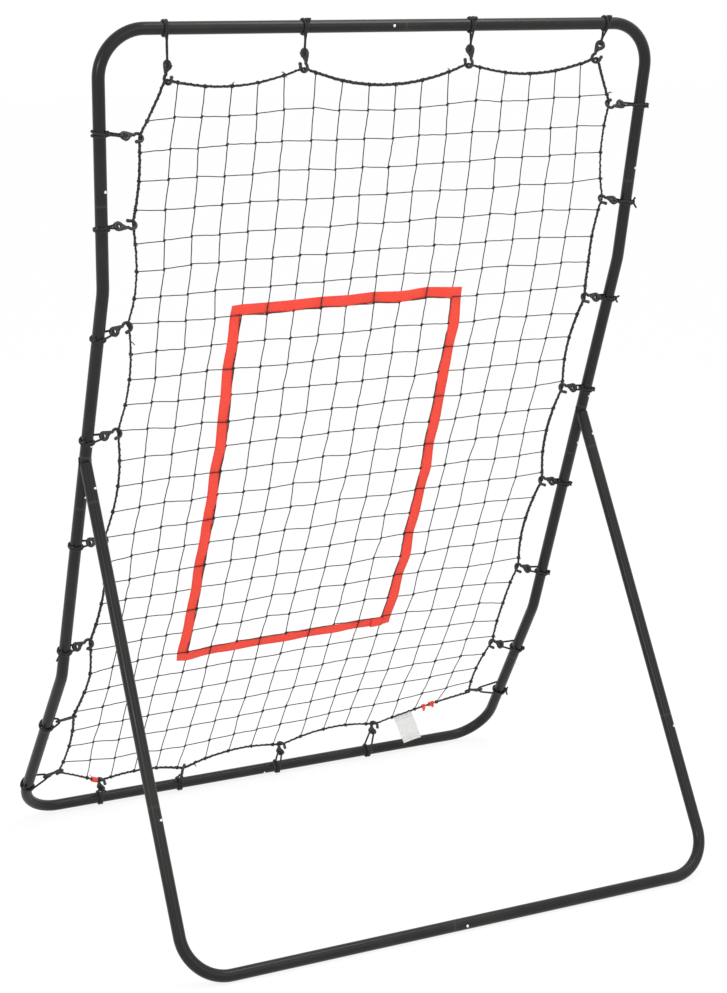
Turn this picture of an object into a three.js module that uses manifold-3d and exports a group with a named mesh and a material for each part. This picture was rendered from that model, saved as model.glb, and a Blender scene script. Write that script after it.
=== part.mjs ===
// Pitching target net: a bent tube frame on a U-shaped stand, with a knotted net hung in it by
// elastic ties. Millimetres, +Z up. The origin is on the floor, midway between the two sides and
// midway between the frame's foot bar (+Y) and the stand's foot bar (-Y).
import * as THREE from 'three';
import { mergeVertices } from 'three/addons/utils/BufferGeometryUtils.js';
import Module from 'manifold-3d';

// ---- overall sizes ----
const frameWidth = 1235;        // between the side tubes' axes, at the corners
const frameHeight = 1810;       // floor to the top of the top bar
const footSpread = 991;         // frame foot bar's axis to stand foot bar's axis
const sideWaist = 22;           // each side is drawn in this far between its two bends
const standInset = 10;          // each stand corner stands this far inside the frame's width
const cornerRadius = 90;        // tube axis, in all six corners

// ---- side profile, from the foot bar up: a length and a lean from upright ----
const lowerLength = 484;
const lowerLean = 33.9;
const middleLength = 934;
const middleLean = 20.2;
const upperLean = 7.7;
const sideBendRadius = 110;
const jointHeight = 551;        // stand joint, up the middle stretch from the lower bend

// ---- tube and its plug-in ends ----
const tubeRadius = 12.5;        // to the flats of the twelve sides
const tubeWall = 1.3;
const plugGap = 0.35;           // between a plug and the socket round it
const plugWall = 1.2;
const plugLength = 55;
const shoulderLength = 6;
const endGap = 0.3;             // between a socket's rim and the shoulder it meets
const tubeSides = 12;
const cornerSteps = 5;
const bendSteps = 1;

// ---- where the tubes part ----
const upperSeam = 172;          // top corner tube ends, up from the upper bend
const collarAbove = 12;         // Y joint's body starts, above the stand joint
const collarBelow = 111;        // Y joint's socket ends, below the stand joint
const branchTop = 8;            // Y joint's branch starts, down the leg
const branchLength = 93;        // and its socket ends
const lowerSeam = 180;          // lower side tube ends, down from the lower bend
const standSeam = 720;          // stand leg ends, down from the stand joint

// ---- snap buttons ----
const buttonRadius = 2.9;
const buttonHoleGap = 0.4;
const buttonHoleStart = 1;      // a button's hole is cut from here outwards, from the tube's axis
const buttonProud = 3.2;
const domeRise = 1.8;
const buttonFromSeam = 28;
const flangeRadius = 4;
const flangeGap = 0.3;          // between the flange and the plug's wall that stops it
const flangeThickness = 1;
const leafLength = 22;
const leafThickness = 0.9;
const leafWidth = 5;
const leafDrop = 5;
const buttonSides = 6;
const sideButtonTurn = 22;      // side buttons face the stand, turned this far towards +X
const lowerButtonTurn = 57;     // the lowest of them are turned further
const footButtonDrop = 38;      // foot bar's button points this far below level

// ---- ties: an elastic loop round the tube and through the eye of an open hook ----
const cordHalf = 1.75;          // the cord's section is square here
const cordGap = 0.3;            // between the loop and the tube's corners
const cordBite = 0.35;          // the loop is drawn this far into the eye's rim
const loopStep = 35;            // the loop turns this many degrees at each of its rings, at most
const eyeOuter = 9.4;
const eyeInner = 5;
const hookRod = 4.2;
const hookInner = 6.6;
const hookBack = 26;            // eye's centre to the centre of the hook's bend
const hookTip = 3;
const hookTipSlant = 1.4;
const hookTilt = 45;            // the hook's flat is turned this far out of the net's plane
const eyeMouth = [15, 315];     // the eye's rim runs between these angles, and the hook leaves it there
const eyeSteps = 7;
const bendSegments = 4;

// Each tie: how far along its bar or up its side the loop sits, as a share; how far in from the
// tube's axis the rope is held, and how far along it from the loop; which mesh of the net is there;
// and whether the hook's tip is on the right and upper side, 1, or on the other, -1.
const topTies = [
  { share: 0.112, inward: 100, slip: 6, mesh: 0, tip: 1 },
  { share: 0.348, inward: 82, slip: 0, mesh: 5.6, tip: -1 },
  { share: 0.650, inward: 80, slip: -2, mesh: 11.7, tip: -1 },
  { share: 0.911, inward: 75, slip: -19, mesh: 17, tip: 1 },
];
const footTies = [
  { share: 0.161, inward: 69, slip: -11, mesh: 1.8, tip: 1 },
  { share: 0.323, inward: 62, slip: -3, mesh: 5.3, tip: -1 },
  { share: 0.532, inward: 89, slip: -12, mesh: 9.4, tip: 1 },
  { share: 0.731, inward: 108, slip: -11, mesh: 13.3, tip: 1 },
];
const leftTies = [
  { share: 0.899, inward: 82, slip: -12, mesh: 1.5, tip: -1 },
  { share: 0.803, inward: 65, slip: 4, mesh: 4.4, tip: 1 },
  { share: 0.685, inward: 62, slip: 20, mesh: 8, tip: -1 },
  { share: 0.563, inward: 66, slip: 9, mesh: 12, tip: -1 },
  { share: 0.430, inward: 63, slip: 4, mesh: 16, tip: -1 },
  { share: 0.289, inward: 57, slip: 8, mesh: 20.7, tip: -1 },
  { share: 0.166, inward: 60, slip: 12, mesh: 24.2, tip: -1 },
  { share: 0.055, inward: 72, slip: 27, mesh: 28, tip: -1 },
];
const rightTies = [
  { share: 0.911, inward: 78, slip: 2, mesh: 1.3, tip: 1 },
  { share: 0.802, inward: 63, slip: 7, mesh: 4.7, tip: -1 },
  { share: 0.687, inward: 63, slip: 2, mesh: 8.5, tip: -1 },
  { share: 0.567, inward: 66, slip: 5, mesh: 12.2, tip: -1 },
  { share: 0.436, inward: 62, slip: 10, mesh: 16.3, tip: -1 },
  { share: 0.306, inward: 72, slip: 19, mesh: 20.4, tip: -1 },
  { share: 0.174, inward: 82, slip: 27, mesh: 24.5, tip: -1 },
  { share: 0.089, inward: 94, slip: 9, mesh: 28, tip: -1 },
];

// ---- net, border rope, target ribbon ----
const realColumns = 17;         // meshes in the real net
const realRows = 28;
const meshColumns = 10;         // and here, where a mesh stands for about three
const meshRows = 17;
const strandHalf = 1.2;
const relaxSweeps = 120;
const ropeRadius = 2.8;
const ropeSides = 5;
const ropeGap = 0.6;            // between the rope and the ends of the net's strands
const ropeSag = 0.00016;        // per mm of span: a span of 300 mm sags 14 mm
const saddleHalf = 6;           // the rope lies straight this far each side of a hook
const targetColumns = [3.8, 12.2];
const targetRows = [7.8, 22.2];
const ribbonWidth = 25;
const ribbonThickness = 0.9;
const ribbonGap = 0.5;          // between the ribbon and a strand that it passes

// ---- blank tag under the rope ----
const tagWidth = 44;
const tagDrop = 54;
const tagThickness = 0.7;
const tagGap = 0.4;
const tagColumns = [8, 9];      // it hangs between these two of the net's upright strands

// ---- materials ----
const satinBlack = { color: 0x35352f, roughness: 0.42, metalness: 0.55 };
const brightSteel = { color: 0xc9cbcc, roughness: 0.22, metalness: 1 };
const elasticBlack = { color: 0x141415, roughness: 0.75, metalness: 0 };
const netBlack = { color: 0x121212, roughness: 0.9, metalness: 0 };
const ropeBlack = { color: 0x17171a, roughness: 0.95, metalness: 0 };
const targetRed = { color: 0xf0503c, roughness: 0.8, metalness: 0 };
const tagWhite = { color: 0xf2f1ed, roughness: 0.7, metalness: 0 };

const mergeDistance = 1e-4;

const wasm = await Module();
wasm.setup();

const part = new THREE.Group();
const vector = (x, y, z) => new THREE.Vector3(x, y, z);
const along = (from, direction, distance) => from.clone().addScaledVector(direction, distance);
const radians = THREE.MathUtils.degToRad;
const plusX = vector(1, 0, 0);
const minusX = vector(-1, 0, 0);

function solid(geometry) {
  const plain = geometry.index ? geometry.toNonIndexed() : geometry.clone();
  plain.deleteAttribute('normal');
  plain.deleteAttribute('uv');
  const merged = mergeVertices(plain, mergeDistance);
  const vertProperties = new Float32Array(merged.attributes.position.array);
  const triVerts = new Uint32Array(merged.index.array);
  return new wasm.Manifold(new wasm.Mesh({ numProp: 3, vertProperties, triVerts }));
}

function geometryOf(body) {
  const mesh = body.getMesh();
  const geometry = new THREE.BufferGeometry();
  geometry.setAttribute('position', new THREE.BufferAttribute(mesh.vertProperties, 3));
  geometry.setIndex(new THREE.BufferAttribute(mesh.triVerts, 1));
  geometry.computeVertexNormals();
  return geometry;
}

function addPiece(name, geometry, finish) {
  const mesh = new THREE.Mesh(geometry, new THREE.MeshStandardMaterial(finish));
  mesh.name = name;
  part.add(mesh);
}

// Turns a geometry so that its own Z runs along `axis` and its own X along `across`.
function standing(origin, axis, across) {
  const z = axis.clone().normalize();
  const x = across.clone().addScaledVector(z, -across.dot(z)).normalize();
  const y = z.clone().cross(x);
  return new THREE.Matrix4().makeBasis(x, y, z).setPosition(origin);
}

// ---- the frame's lines ----
const polygonReach = 1 / Math.cos(Math.PI / tubeSides);    // corner radius over flat radius
const tubeCorner = tubeRadius * polygonReach;
const halfWidth = frameWidth / 2;
const lean = (degrees) => vector(0, -Math.sin(radians(degrees)), Math.cos(radians(degrees)));
const unit = (from, to) => to.clone().sub(from).normalize();

// The loops of the foot bar's ties pass under it, so the bar lies that much above the floor. Each
// loop is a polygon whose flat runs stay clear of the tube's corners.
const loopRadius = (tubeCorner + cordGap) / Math.cos(radians(loopStep / 2)) + cordHalf;
const footLift = loopRadius + cordHalf;

const footPoint = vector(0, footSpread / 2, footLift);
const lowBend = along(footPoint, lean(lowerLean), lowerLength);
const highBend = along(lowBend, lean(middleLean), middleLength);
const upperLength = (frameHeight - tubeRadius - highBend.z) / Math.cos(radians(upperLean));
const topPoint = along(highBend, lean(upperLean), upperLength);
const standFoot = vector(0, -footSpread / 2, tubeRadius);

const atSide = (point, side, inset) => vector(side * (halfWidth - inset), point.y, point.z);

// The corner points of one side: foot corner, lower bend, upper bend, top corner.
function sideLine(side) {
  return [atSide(footPoint, side, 0), atSide(lowBend, side, sideWaist),
    atSide(highBend, side, sideWaist), atSide(topPoint, side, 0)];
}

// A point so far up one side's profile from the foot bar. The middle of the frame is side 0.
function upTheSide(side, distance) {
  const line = sideLine(side);
  const lengths = [lowerLength, middleLength, upperLength];
  let rest = distance;
  let stretch = 0;
  while (stretch < 2 && rest > lengths[stretch]) {
    rest -= lengths[stretch];
    stretch += 1;
  }
  return line[stretch].clone().lerp(line[stretch + 1], rest / lengths[stretch]);
}

// The net's surface: `x` across, `up` along the sides' profile.
function onNet(x, up) {
  const point = upTheSide(0, up);
  point.x = x;
  return point;
}

function standJoint(side) {
  const line = sideLine(side);
  return along(line[1], unit(line[1], line[2]), jointHeight);
}

// ---- tubes ----
const tubeBore = tubeRadius - tubeWall;
const plugRadius = (tubeBore - plugGap) / polygonReach;
const plugBore = plugRadius - plugWall;

// Only the part of `facing` that is square to the tube counts.
function squareTo(axis, facing) {
  return facing.clone().addScaledVector(axis, -facing.dot(axis)).normalize();
}

// A tube's centre line: straight runs with a round bend at each inner corner point. It gives the
// places where the tube starts, turns and ends.
function bentLine(points, radius, steps) {
  const places = [{ point: points[0], tangent: unit(points[0], points[1]) }];
  for (let i = 1; i < points.length - 1; i += 1) {
    const inward = unit(points[i - 1], points[i]);
    const outward = unit(points[i], points[i + 1]);
    const turn = inward.angleTo(outward);
    const start = along(points[i], inward, -radius * Math.tan(turn / 2));
    const toCentre = squareTo(inward, outward);
    for (let k = 0; k <= steps; k += 1) {
      const angle = turn * k / steps;
      const sink = radius * (1 - Math.cos(angle));
      const point = along(along(start, inward, radius * Math.sin(angle)), toCentre, sink);
      const tangent = inward.clone().multiplyScalar(Math.cos(angle))
        .addScaledVector(toCentre, Math.sin(angle));
      places.push({ point, tangent });
    }
  }
  const last = points.length - 1;
  places.push({ point: points[last], tangent: unit(points[last - 1], points[last]) });
  let flat = vector(0, -1, 0);
  for (const place of places) {
    flat = squareTo(place.tangent, flat);
    place.flat = flat;
  }
  return places;
}

// Twelve corners round a place of the centre line, with flats `radius` from it, moved `ahead`.
function tubeRing({ point, tangent, flat }, radius, ahead = 0) {
  const centre = along(point, tangent, ahead);
  const side = tangent.clone().cross(flat);
  return Array.from({ length: tubeSides }, (_, i) => {
    const angle = (2 * i + 1) * Math.PI / tubeSides;
    const reach = radius * polygonReach;
    return along(along(centre, flat, reach * Math.cos(angle)), side, reach * Math.sin(angle));
  });
}

// A closed tube through `rings`, each a list of as many points.
function hoop(rings) {
  const count = rings[0].length;
  const positions = rings.flat().flatMap((point) => [point.x, point.y, point.z]);
  const indices = [];
  rings.forEach((_, i) => {
    const next = (i + 1) % rings.length;
    for (let k = 0; k < count; k += 1) {
      const far = (k + 1) % count;
      indices.push(i * count + k, next * count + far, next * count + k);
      indices.push(i * count + k, i * count + far, next * count + far);
    }
  });
  const geometry = new THREE.BufferGeometry();
  geometry.setAttribute('position', new THREE.Float32BufferAttribute(positions, 3));
  geometry.setIndex(indices);
  return geometry;
}

// An open tube along `points`. At an end with a plug, the wall steps in to the thinner plug that
// the next tube slides over.
function tube(points, { radius = 0, steps = 0, plugAtStart = false, plugAtEnd = false }) {
  const places = bentLine(points, radius, steps);
  const first = places[0];
  const last = places[places.length - 1];
  const skin = places.map((place) => tubeRing(place, tubeRadius));
  const bore = places.slice(1, -1).map((place) => tubeRing(place, tubeBore)).reverse();
  if (plugAtStart) {
    skin.unshift(tubeRing(first, plugRadius, -plugLength), tubeRing(first, plugRadius));
    bore.push(tubeRing(first, tubeBore, shoulderLength), tubeRing(first, plugBore, shoulderLength),
      tubeRing(first, plugBore, -plugLength));
  } else {
    bore.push(tubeRing(first, tubeBore));
  }
  if (plugAtEnd) {
    skin.push(tubeRing(last, plugRadius), tubeRing(last, plugRadius, plugLength));
    bore.unshift(tubeRing(last, plugBore, plugLength), tubeRing(last, plugBore, -shoulderLength),
      tubeRing(last, tubeBore, -shoulderLength));
  } else {
    bore.unshift(tubeRing(last, tubeBore));
  }
  return solid(hoop([...skin, ...bore]));
}

function rod(radius, from, axis, length) {
  const body = new THREE.CylinderGeometry(radius * polygonReach, radius * polygonReach, length, tubeSides);
  body.rotateX(Math.PI / 2);
  body.translate(0, 0, length / 2);
  return solid(body.applyMatrix4(standing(from, axis, plusX)));
}

// ---- snap buttons ----
const plugEnd = [];             // every plug: where its button is, which way it faces, its name

function noteButton(name, seam, axis, facing) {
  plugEnd.push({ name, centre: along(seam, axis, buttonFromSeam), axis, facing: squareTo(axis, facing) });
}

function buttonHole(button) {
  const radius = buttonRadius + buttonHoleGap;
  const depth = tubeRadius + buttonProud;
  const hole = new THREE.CylinderGeometry(radius, radius, depth, buttonSides);
  hole.rotateX(Math.PI / 2);
  hole.translate(0, 0, depth / 2 + buttonHoleStart);
  hole.applyMatrix4(standing(button.centre, button.facing, button.axis));
  return solid(hole);
}

function withHoles(body, names) {
  return names.reduce((tube, name) => {
    const button = plugEnd.find((each) => each.name === name);
    return tube.subtract(buttonHole(button));
  }, body);
}

function snapButton(button) {
  const top = tubeRadius + buttonProud;
  const flangeTop = Math.sqrt((plugBore - flangeGap) ** 2 - flangeRadius ** 2);
  const flangeFoot = flangeTop - flangeThickness;
  const outline = [[0, flangeFoot], [flangeRadius, flangeFoot], [flangeRadius, flangeTop],
    [buttonRadius, flangeTop], [buttonRadius, top - domeRise], [buttonRadius / 2, top], [0, top]];
  const pin = new THREE.LatheGeometry(outline.map(([r, z]) => new THREE.Vector2(r, z)), buttonSides);
  pin.rotateX(Math.PI / 2);
  const leafTop = flangeFoot + leafThickness / 2;
  const leaf = new THREE.Shape([
    new THREE.Vector2(-buttonRadius, leafTop),
    new THREE.Vector2(-buttonRadius, leafTop - leafThickness),
    new THREE.Vector2(leafLength, leafTop - leafThickness - leafDrop),
    new THREE.Vector2(leafLength, leafTop - leafDrop),
  ]);
  const spring = new THREE.ExtrudeGeometry(leaf, { depth: leafWidth, bevelEnabled: false });
  spring.translate(0, 0, -leafWidth / 2);
  spring.rotateX(Math.PI / 2);
  const body = solid(pin).add(solid(spring));
  const geometry = geometryOf(body);
  geometry.applyMatrix4(standing(button.centre, button.facing, button.axis));
  return geometry;
}

// ---- the frame ----
const turned = (degrees) => vector(Math.sin(radians(degrees)), -Math.cos(radians(degrees)), 0);
const sideFacing = turned(sideButtonTurn);
const lowerFacing = turned(lowerButtonTurn);
const barFacing = vector(0, -1, 0);
const footFacing = vector(0, -Math.cos(radians(footButtonDrop)), -Math.sin(radians(footButtonDrop)));
const sides = [{ side: -1, word: 'left' }, { side: 1, word: 'right' }];

// The middle of each bar: the plug's shoulder lies half the overlap past the button, which is in
// the middle, so one tube of each pair reaches past it.
const topSeam = vector(buttonFromSeam, topPoint.y, topPoint.z);
const footSeam = vector(buttonFromSeam, footPoint.y, footPoint.z);
const standBarSeam = vector(-buttonFromSeam, standFoot.y, standFoot.z);

noteButton('top', topSeam, minusX, barFacing);
noteButton('foot', footSeam, minusX, footFacing);
noteButton('stand', standBarSeam, plusX, barFacing);

function sideSeams(side) {
  const [foot, low, high, top] = sideLine(side);
  const middle = unit(low, high);
  const joint = standJoint(side);
  const standCorner = atSide(standFoot, side, standInset);
  const leg = unit(joint, standCorner);
  return {
    foot, low, high, top, middle, joint, standCorner, leg,
    upper: along(high, unit(high, top), upperSeam),
    upperWay: unit(high, top),
    collarTop: along(joint, middle, collarAbove),
    collarFoot: along(joint, middle, -collarBelow),
    branchEnd: along(joint, leg, branchLength),
    lower: along(low, unit(low, foot), lowerSeam),
    lowerWay: unit(low, foot),
    standEnd: along(joint, leg, standSeam),
  };
}

for (const { side, word } of sides) {
  const at = sideSeams(side);
  noteButton(`upper_${word}`, at.upper, at.upperWay, sideFacing);
  noteButton(`above_joint_${word}`, at.collarTop, at.middle, sideFacing);
  noteButton(`below_joint_${word}`, at.collarFoot, at.middle, sideFacing);
  noteButton(`leg_top_${word}`, at.branchEnd, at.leg.clone().negate(), sideFacing);
  noteButton(`leg_foot_${word}`, at.standEnd, at.leg, sideFacing);
  noteButton(`lower_${word}`, at.lower, at.lowerWay, lowerFacing);
}

// A corner tube runs from the middle of a bar round the corner to the seam down or up the side.
// The socket half of a bar stops just short of the step that its plug half starts with.
function cornerTube(side, barSeam, cornerPoint, sideEnd, hasPlug) {
  const outward = side < 0 ? minusX : plusX;
  const barEnd = hasPlug ? barSeam : along(barSeam, outward, endGap);
  const shape = { radius: cornerRadius, steps: cornerSteps, plugAtStart: hasPlug };
  return tube([barEnd, cornerPoint, sideEnd], shape);
}

// The Y joint: a straight collar with a plug at its top and a socket at its foot, and the branch
// socket for the stand leg, closed and cut square at its top and welded to the collar's wall.
function yJoint(at) {
  const down = at.middle.clone().negate();
  const collar = tube([at.collarTop, at.collarFoot], { plugAtStart: true });
  const weldDepth = tubeWall / 2;
  const collarRoom = rod(tubeRadius - weldDepth, at.collarTop, down, collarAbove + collarBelow);
  const branchFrom = along(at.joint, at.leg, branchTop);
  const boreFrom = along(branchFrom, at.leg, tubeWall);
  return rod(tubeRadius, branchFrom, at.leg, branchLength - branchTop)
    .subtract(rod(tubeBore, boreFrom, at.leg, branchLength))
    .subtract(collarRoom)
    .add(collar);
}

function addTube(name, body, buttons) {
  addPiece(name, geometryOf(withHoles(body, buttons)), satinBlack);
}

for (const { side, word } of sides) {
  const at = sideSeams(side);
  const isRight = side > 0;

  const topEnd = along(at.upper, at.upperWay, endGap);
  addTube(`top_corner_tube_${word}`, cornerTube(side, topSeam, at.top, topEnd, isRight),
    ['top', `upper_${word}`]);

  const upperFoot = along(at.collarTop, at.middle, endGap);
  const bend = { radius: sideBendRadius, steps: bendSteps, plugAtStart: true };
  addTube(`upper_side_tube_${word}`, tube([at.upper, at.high, upperFoot], bend),
    [`upper_${word}`, `above_joint_${word}`]);

  addTube(`side_y_joint_${word}`, yJoint(at),
    [`above_joint_${word}`, `below_joint_${word}`, `leg_top_${word}`]);

  const lowerTop = along(at.collarFoot, at.middle, -endGap);
  addTube(`lower_side_tube_${word}`, tube([lowerTop, at.low, at.lower], { ...bend, plugAtEnd: true }),
    [`below_joint_${word}`, `lower_${word}`]);

  const footEnd = along(at.lower, at.lowerWay, endGap);
  addTube(`foot_corner_tube_${word}`, cornerTube(side, footSeam, at.foot, footEnd, isRight),
    ['foot', `lower_${word}`]);

  const legTop = along(at.branchEnd, at.leg, endGap);
  addTube(`stand_leg_${word}`, tube([legTop, at.standEnd], { plugAtStart: true, plugAtEnd: true }),
    [`leg_top_${word}`, `leg_foot_${word}`]);

  const standEnd = along(at.standEnd, at.leg, endGap);
  addTube(`stand_corner_tube_${word}`, cornerTube(side, standBarSeam, at.standCorner, standEnd, !isRight),
    ['stand', `leg_foot_${word}`]);
}

for (const button of plugEnd) {
  addPiece(`snap_button_${button.name}`, snapButton(button), brightSteel);
}

// ---- ties ----

// The elastic loop, seen along the tube: round the tube at the origin and round the rim of the
// hook's eye, whose middle lies at `rim`. It leans along the tube by `slope`.
function elasticLoop(rim, slope) {
  const small = hookRod / 2 + cordHalf - cordBite;
  const tangent = Math.acos((loopRadius - small) / rim);
  const rings = [];
  const addRing = (centre, radius, angle) => {
    const corner = (out, across) => {
      const x = centre + (radius + out) * Math.cos(angle);
      return vector(x, across + slope * x, (radius + out) * Math.sin(angle));
    };
    rings.push([corner(-cordHalf, -cordHalf), corner(cordHalf, -cordHalf),
      corner(cordHalf, cordHalf), corner(-cordHalf, cordHalf)]);
  };
  const turn = 2 * (Math.PI - tangent);
  const steps = Math.ceil(turn / radians(loopStep));
  for (let k = 0; k <= steps; k += 1) addRing(0, loopRadius, tangent + turn * k / steps);
  addRing(rim, small, -tangent);
  addRing(rim, small, 0);
  addRing(rim, small, tangent);
  return solid(hoop(rings));
}

function arcPoints(centreX, radius, from, to, steps) {
  return Array.from({ length: steps + 1 }, (_, k) => {
    const angle = radians(from + (to - from) * k / steps);
    return new THREE.Vector2(centreX + radius * Math.cos(angle), radius * Math.sin(angle));
  });
}

// The open hook, flat in its own XY plane: eye at the origin, bend centred on +X.
function openHook() {
  const bendOuter = hookInner + hookRod;
  const tipX = hookBack - hookTip;
  const outline = new THREE.Shape([
    ...arcPoints(0, eyeOuter, ...eyeMouth, eyeSteps),
    new THREE.Vector2(hookBack - hookInner, -bendOuter),
    ...arcPoints(hookBack, bendOuter, -90, 90, bendSegments),
    new THREE.Vector2(tipX, bendOuter),
    new THREE.Vector2(tipX - hookTipSlant, hookInner),
    ...arcPoints(hookBack, hookInner, 90, -90, bendSegments),
    new THREE.Vector2(hookBack - hookInner, -hookInner),
  ]);
  outline.holes.push(new THREE.Path(arcPoints(0, eyeInner, 0, 360, eyeSteps).slice(1)));
  return new THREE.ExtrudeGeometry(outline, { depth: hookRod, bevelEnabled: false })
    .translate(0, 0, -hookRod / 2);
}

// A tie between the tube's axis at `post`, which runs along `axis`, and the rope at `rope`. Its
// hook's flat is turned out of the net's plane by `turn`.
function tie(post, axis, rope, turn, tip) {
  const reach = rope.clone().sub(post);
  const slip = reach.dot(axis);
  const square = reach.clone().addScaledVector(axis, -slip);
  const across = square.clone().normalize();
  const normal = across.clone().cross(axis);
  const slope = slip / square.length();
  const hookLength = Math.sqrt(1 + slope ** 2);
  const eyeRim = (eyeOuter + eyeInner) / 2;
  const rim = (reach.length() - hookBack - eyeRim) / hookLength;
  const loopFrame = new THREE.Matrix4().makeBasis(across, axis, normal).setPosition(post);
  const loop = geometryOf(elasticLoop(rim, slope)).applyMatrix4(loopFrame);

  const pull = reach.clone().normalize();
  const sideways = normal.clone().cross(pull);
  const flatWay = sideways.clone().multiplyScalar(Math.cos(radians(turn)))
    .addScaledVector(normal, Math.sin(radians(turn))).multiplyScalar(tip);
  const faceWay = pull.clone().cross(flatWay);
  const eyePoint = along(rope, pull, -hookBack);
  const hookFrame = new THREE.Matrix4().makeBasis(pull, flatWay, faceWay).setPosition(eyePoint);
  const hook = openHook().applyMatrix4(hookFrame);
  return geometryOf(solid(loop).add(solid(hook)));
}

// ---- where the ties are ----
// `flat` places are [across, up], on the net's surface.
const topLevel = lowerLength + middleLength + upperLength;

// `inwards` is 1 where the net lies above the bar.
const barTie = (line, level, inwards) => ({ share, inward, slip, ...rest }) => {
  const at = (share - 1 / 2) * frameWidth;
  return {
    ...rest, post: vector(at, line.y, line.z), axis: plusX, turn: -inwards * hookTilt,
    flatPost: [at, level], flatRope: [at + slip, level + inwards * inward],
  };
};

const sideTie = (side) => ({ share, inward, slip, ...rest }) => {
  const at = share * topLevel;
  const post = upTheSide(side, at);
  return {
    ...rest, post, axis: unit(post, upTheSide(side, at + 1)), turn: side * hookTilt,
    flatPost: [post.x, at], flatRope: [post.x - side * inward, at + slip],
  };
};

const ties = {
  top: topTies.map(barTie(topPoint, topLevel, -1)),
  foot: footTies.map(barTie(footPoint, 0, 1)),
  left: leftTies.map(sideTie(-1)),
  right: rightTies.map(sideTie(1)),
};

for (const [edge, list] of Object.entries(ties)) {
  list.forEach((each, i) => {
    const body = tie(each.post, each.axis, onNet(...each.flatRope), each.turn, each.tip);
    addPiece(`net_tie_${edge}_${i + 1}`, body, elasticBlack);
  });
}

// ---- border rope ----
const spanOf = (a, b) => Math.hypot(b[0] - a[0], b[1] - a[1]);

// The rope lies straight across each hook, square to its pull. It runs counter-clockwise, seen from
// the stand.
function saddleEnd({ flatPost, flatRope }, way) {
  const reach = way * saddleHalf / spanOf(flatPost, flatRope);
  const [x, up] = flatRope;
  return [x + reach * (up - flatPost[1]), up - reach * (x - flatPost[0])];
}

// A point of the rope between two ties, where it sags towards the net's middle.
function ropeBetween(before, after, t) {
  const from = saddleEnd(before, 1);
  const to = saddleEnd(after, -1);
  const span = spanOf(from, to);
  const rise = [(to[0] - from[0]) / span, (to[1] - from[1]) / span];
  const sag = ropeSag * span ** 2 * 4 * t * (1 - t);
  return [from[0] + span * t * rise[0] - sag * rise[1], from[1] + span * t * rise[1] + sag * rise[0]];
}

const withMesh = (each, mesh) => ({ ...each, mesh });
const [topLeft, topRight] = [ties.top[0], ties.top[ties.top.length - 1]];
const [footLeft, footRight] = [ties.left[ties.left.length - 1], ties.right[ties.right.length - 1]];
const edges = {
  foot: [withMesh(footLeft, 0), ...ties.foot, withMesh(footRight, realColumns)],
  right: [...ties.right.slice().reverse(), withMesh(topRight, 0)],
  top: ties.top.slice().reverse(),
  left: [withMesh(topLeft, 0), ...ties.left],
};

// The rope's point on one edge where the net's line `mesh` meets it.
function edgePoint(edge, mesh) {
  const list = edges[edge];
  const isInSpan = (each, i) => i > 0 && (each.mesh - mesh) * (list[i - 1].mesh - mesh) <= 0;
  const after = list.findIndex(isInSpan);
  const before = list[after - 1];
  return ropeBetween(before, list[after], (mesh - before.mesh) / (list[after].mesh - before.mesh));
}

const columnMesh = (i) => i * realColumns / meshColumns;
const rowMesh = (j) => j * realRows / meshRows;
const inside = (count) => Array.from({ length: count - 1 }, (_, i) => i + 1);

// The rope turns at each saddle's ends and where a strand of the net pulls it.
function ropePath() {
  const lines = {
    foot: inside(meshColumns).map(columnMesh),
    right: inside(meshRows).map(rowMesh).reverse(),
    top: inside(meshColumns).map(columnMesh).reverse(),
    left: inside(meshRows).map(rowMesh),
  };
  return Object.entries(edges).flatMap(([edge, list]) => list.slice(1).flatMap((after, i) => {
    const before = list[i];
    const strands = lines[edge].filter((mesh) => (mesh - before.mesh) * (mesh - after.mesh) < 0);
    return [saddleEnd(before, 1), ...strands.map((mesh) => edgePoint(edge, mesh)), saddleEnd(after, -1)];
  })).map((flat) => onNet(...flat));
}

function borderRope() {
  const path = ropePath();
  const rings = path.map((point, i) => {
    const before = path[(i + path.length - 1) % path.length];
    const after = path[(i + 1) % path.length];
    const tangent = unit(before, after);
    const normal = squareTo(tangent, vector(0, 1, 0));
    const side = tangent.clone().cross(normal);
    const bend = unit(before, point).angleTo(unit(point, after));
    return Array.from({ length: ropeSides }, (_, k) => {
      const angle = 2 * Math.PI * k / ropeSides;
      const across = ropeRadius * Math.sin(angle) / Math.cos(bend / 2);
      return along(along(point, normal, ropeRadius * Math.cos(angle)), side, across);
    });
  });
  return hoop(rings);
}

addPiece('border_rope', borderRope(), ropeBlack);

// ---- net ----

// The points where strands cross, from the top left, at rest under the net's own pull.
function netPoints() {
  const points = [];
  for (let j = 0; j <= meshRows; j += 1) {
    const left = onNet(...edgePoint('left', rowMesh(j)));
    const right = onNet(...edgePoint('right', rowMesh(j)));
    const pointAt = (_, i) => left.clone().lerp(right, i / meshColumns);
    points.push(Array.from({ length: meshColumns + 1 }, pointAt));
  }
  for (let i = 0; i <= meshColumns; i += 1) {
    points[0][i] = onNet(...edgePoint('top', columnMesh(i)));
    points[meshRows][i] = onNet(...edgePoint('foot', columnMesh(i)));
  }
  for (let sweep = 0; sweep < relaxSweeps; sweep += 1) {
    for (const j of inside(meshRows)) {
      for (const i of inside(meshColumns)) {
        points[j][i].set(0, 0, 0).add(points[j - 1][i]).add(points[j + 1][i])
          .add(points[j][i - 1]).add(points[j][i + 1]).multiplyScalar(1 / 4);
      }
    }
  }
  return points;
}

const net = netPoints();

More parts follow.
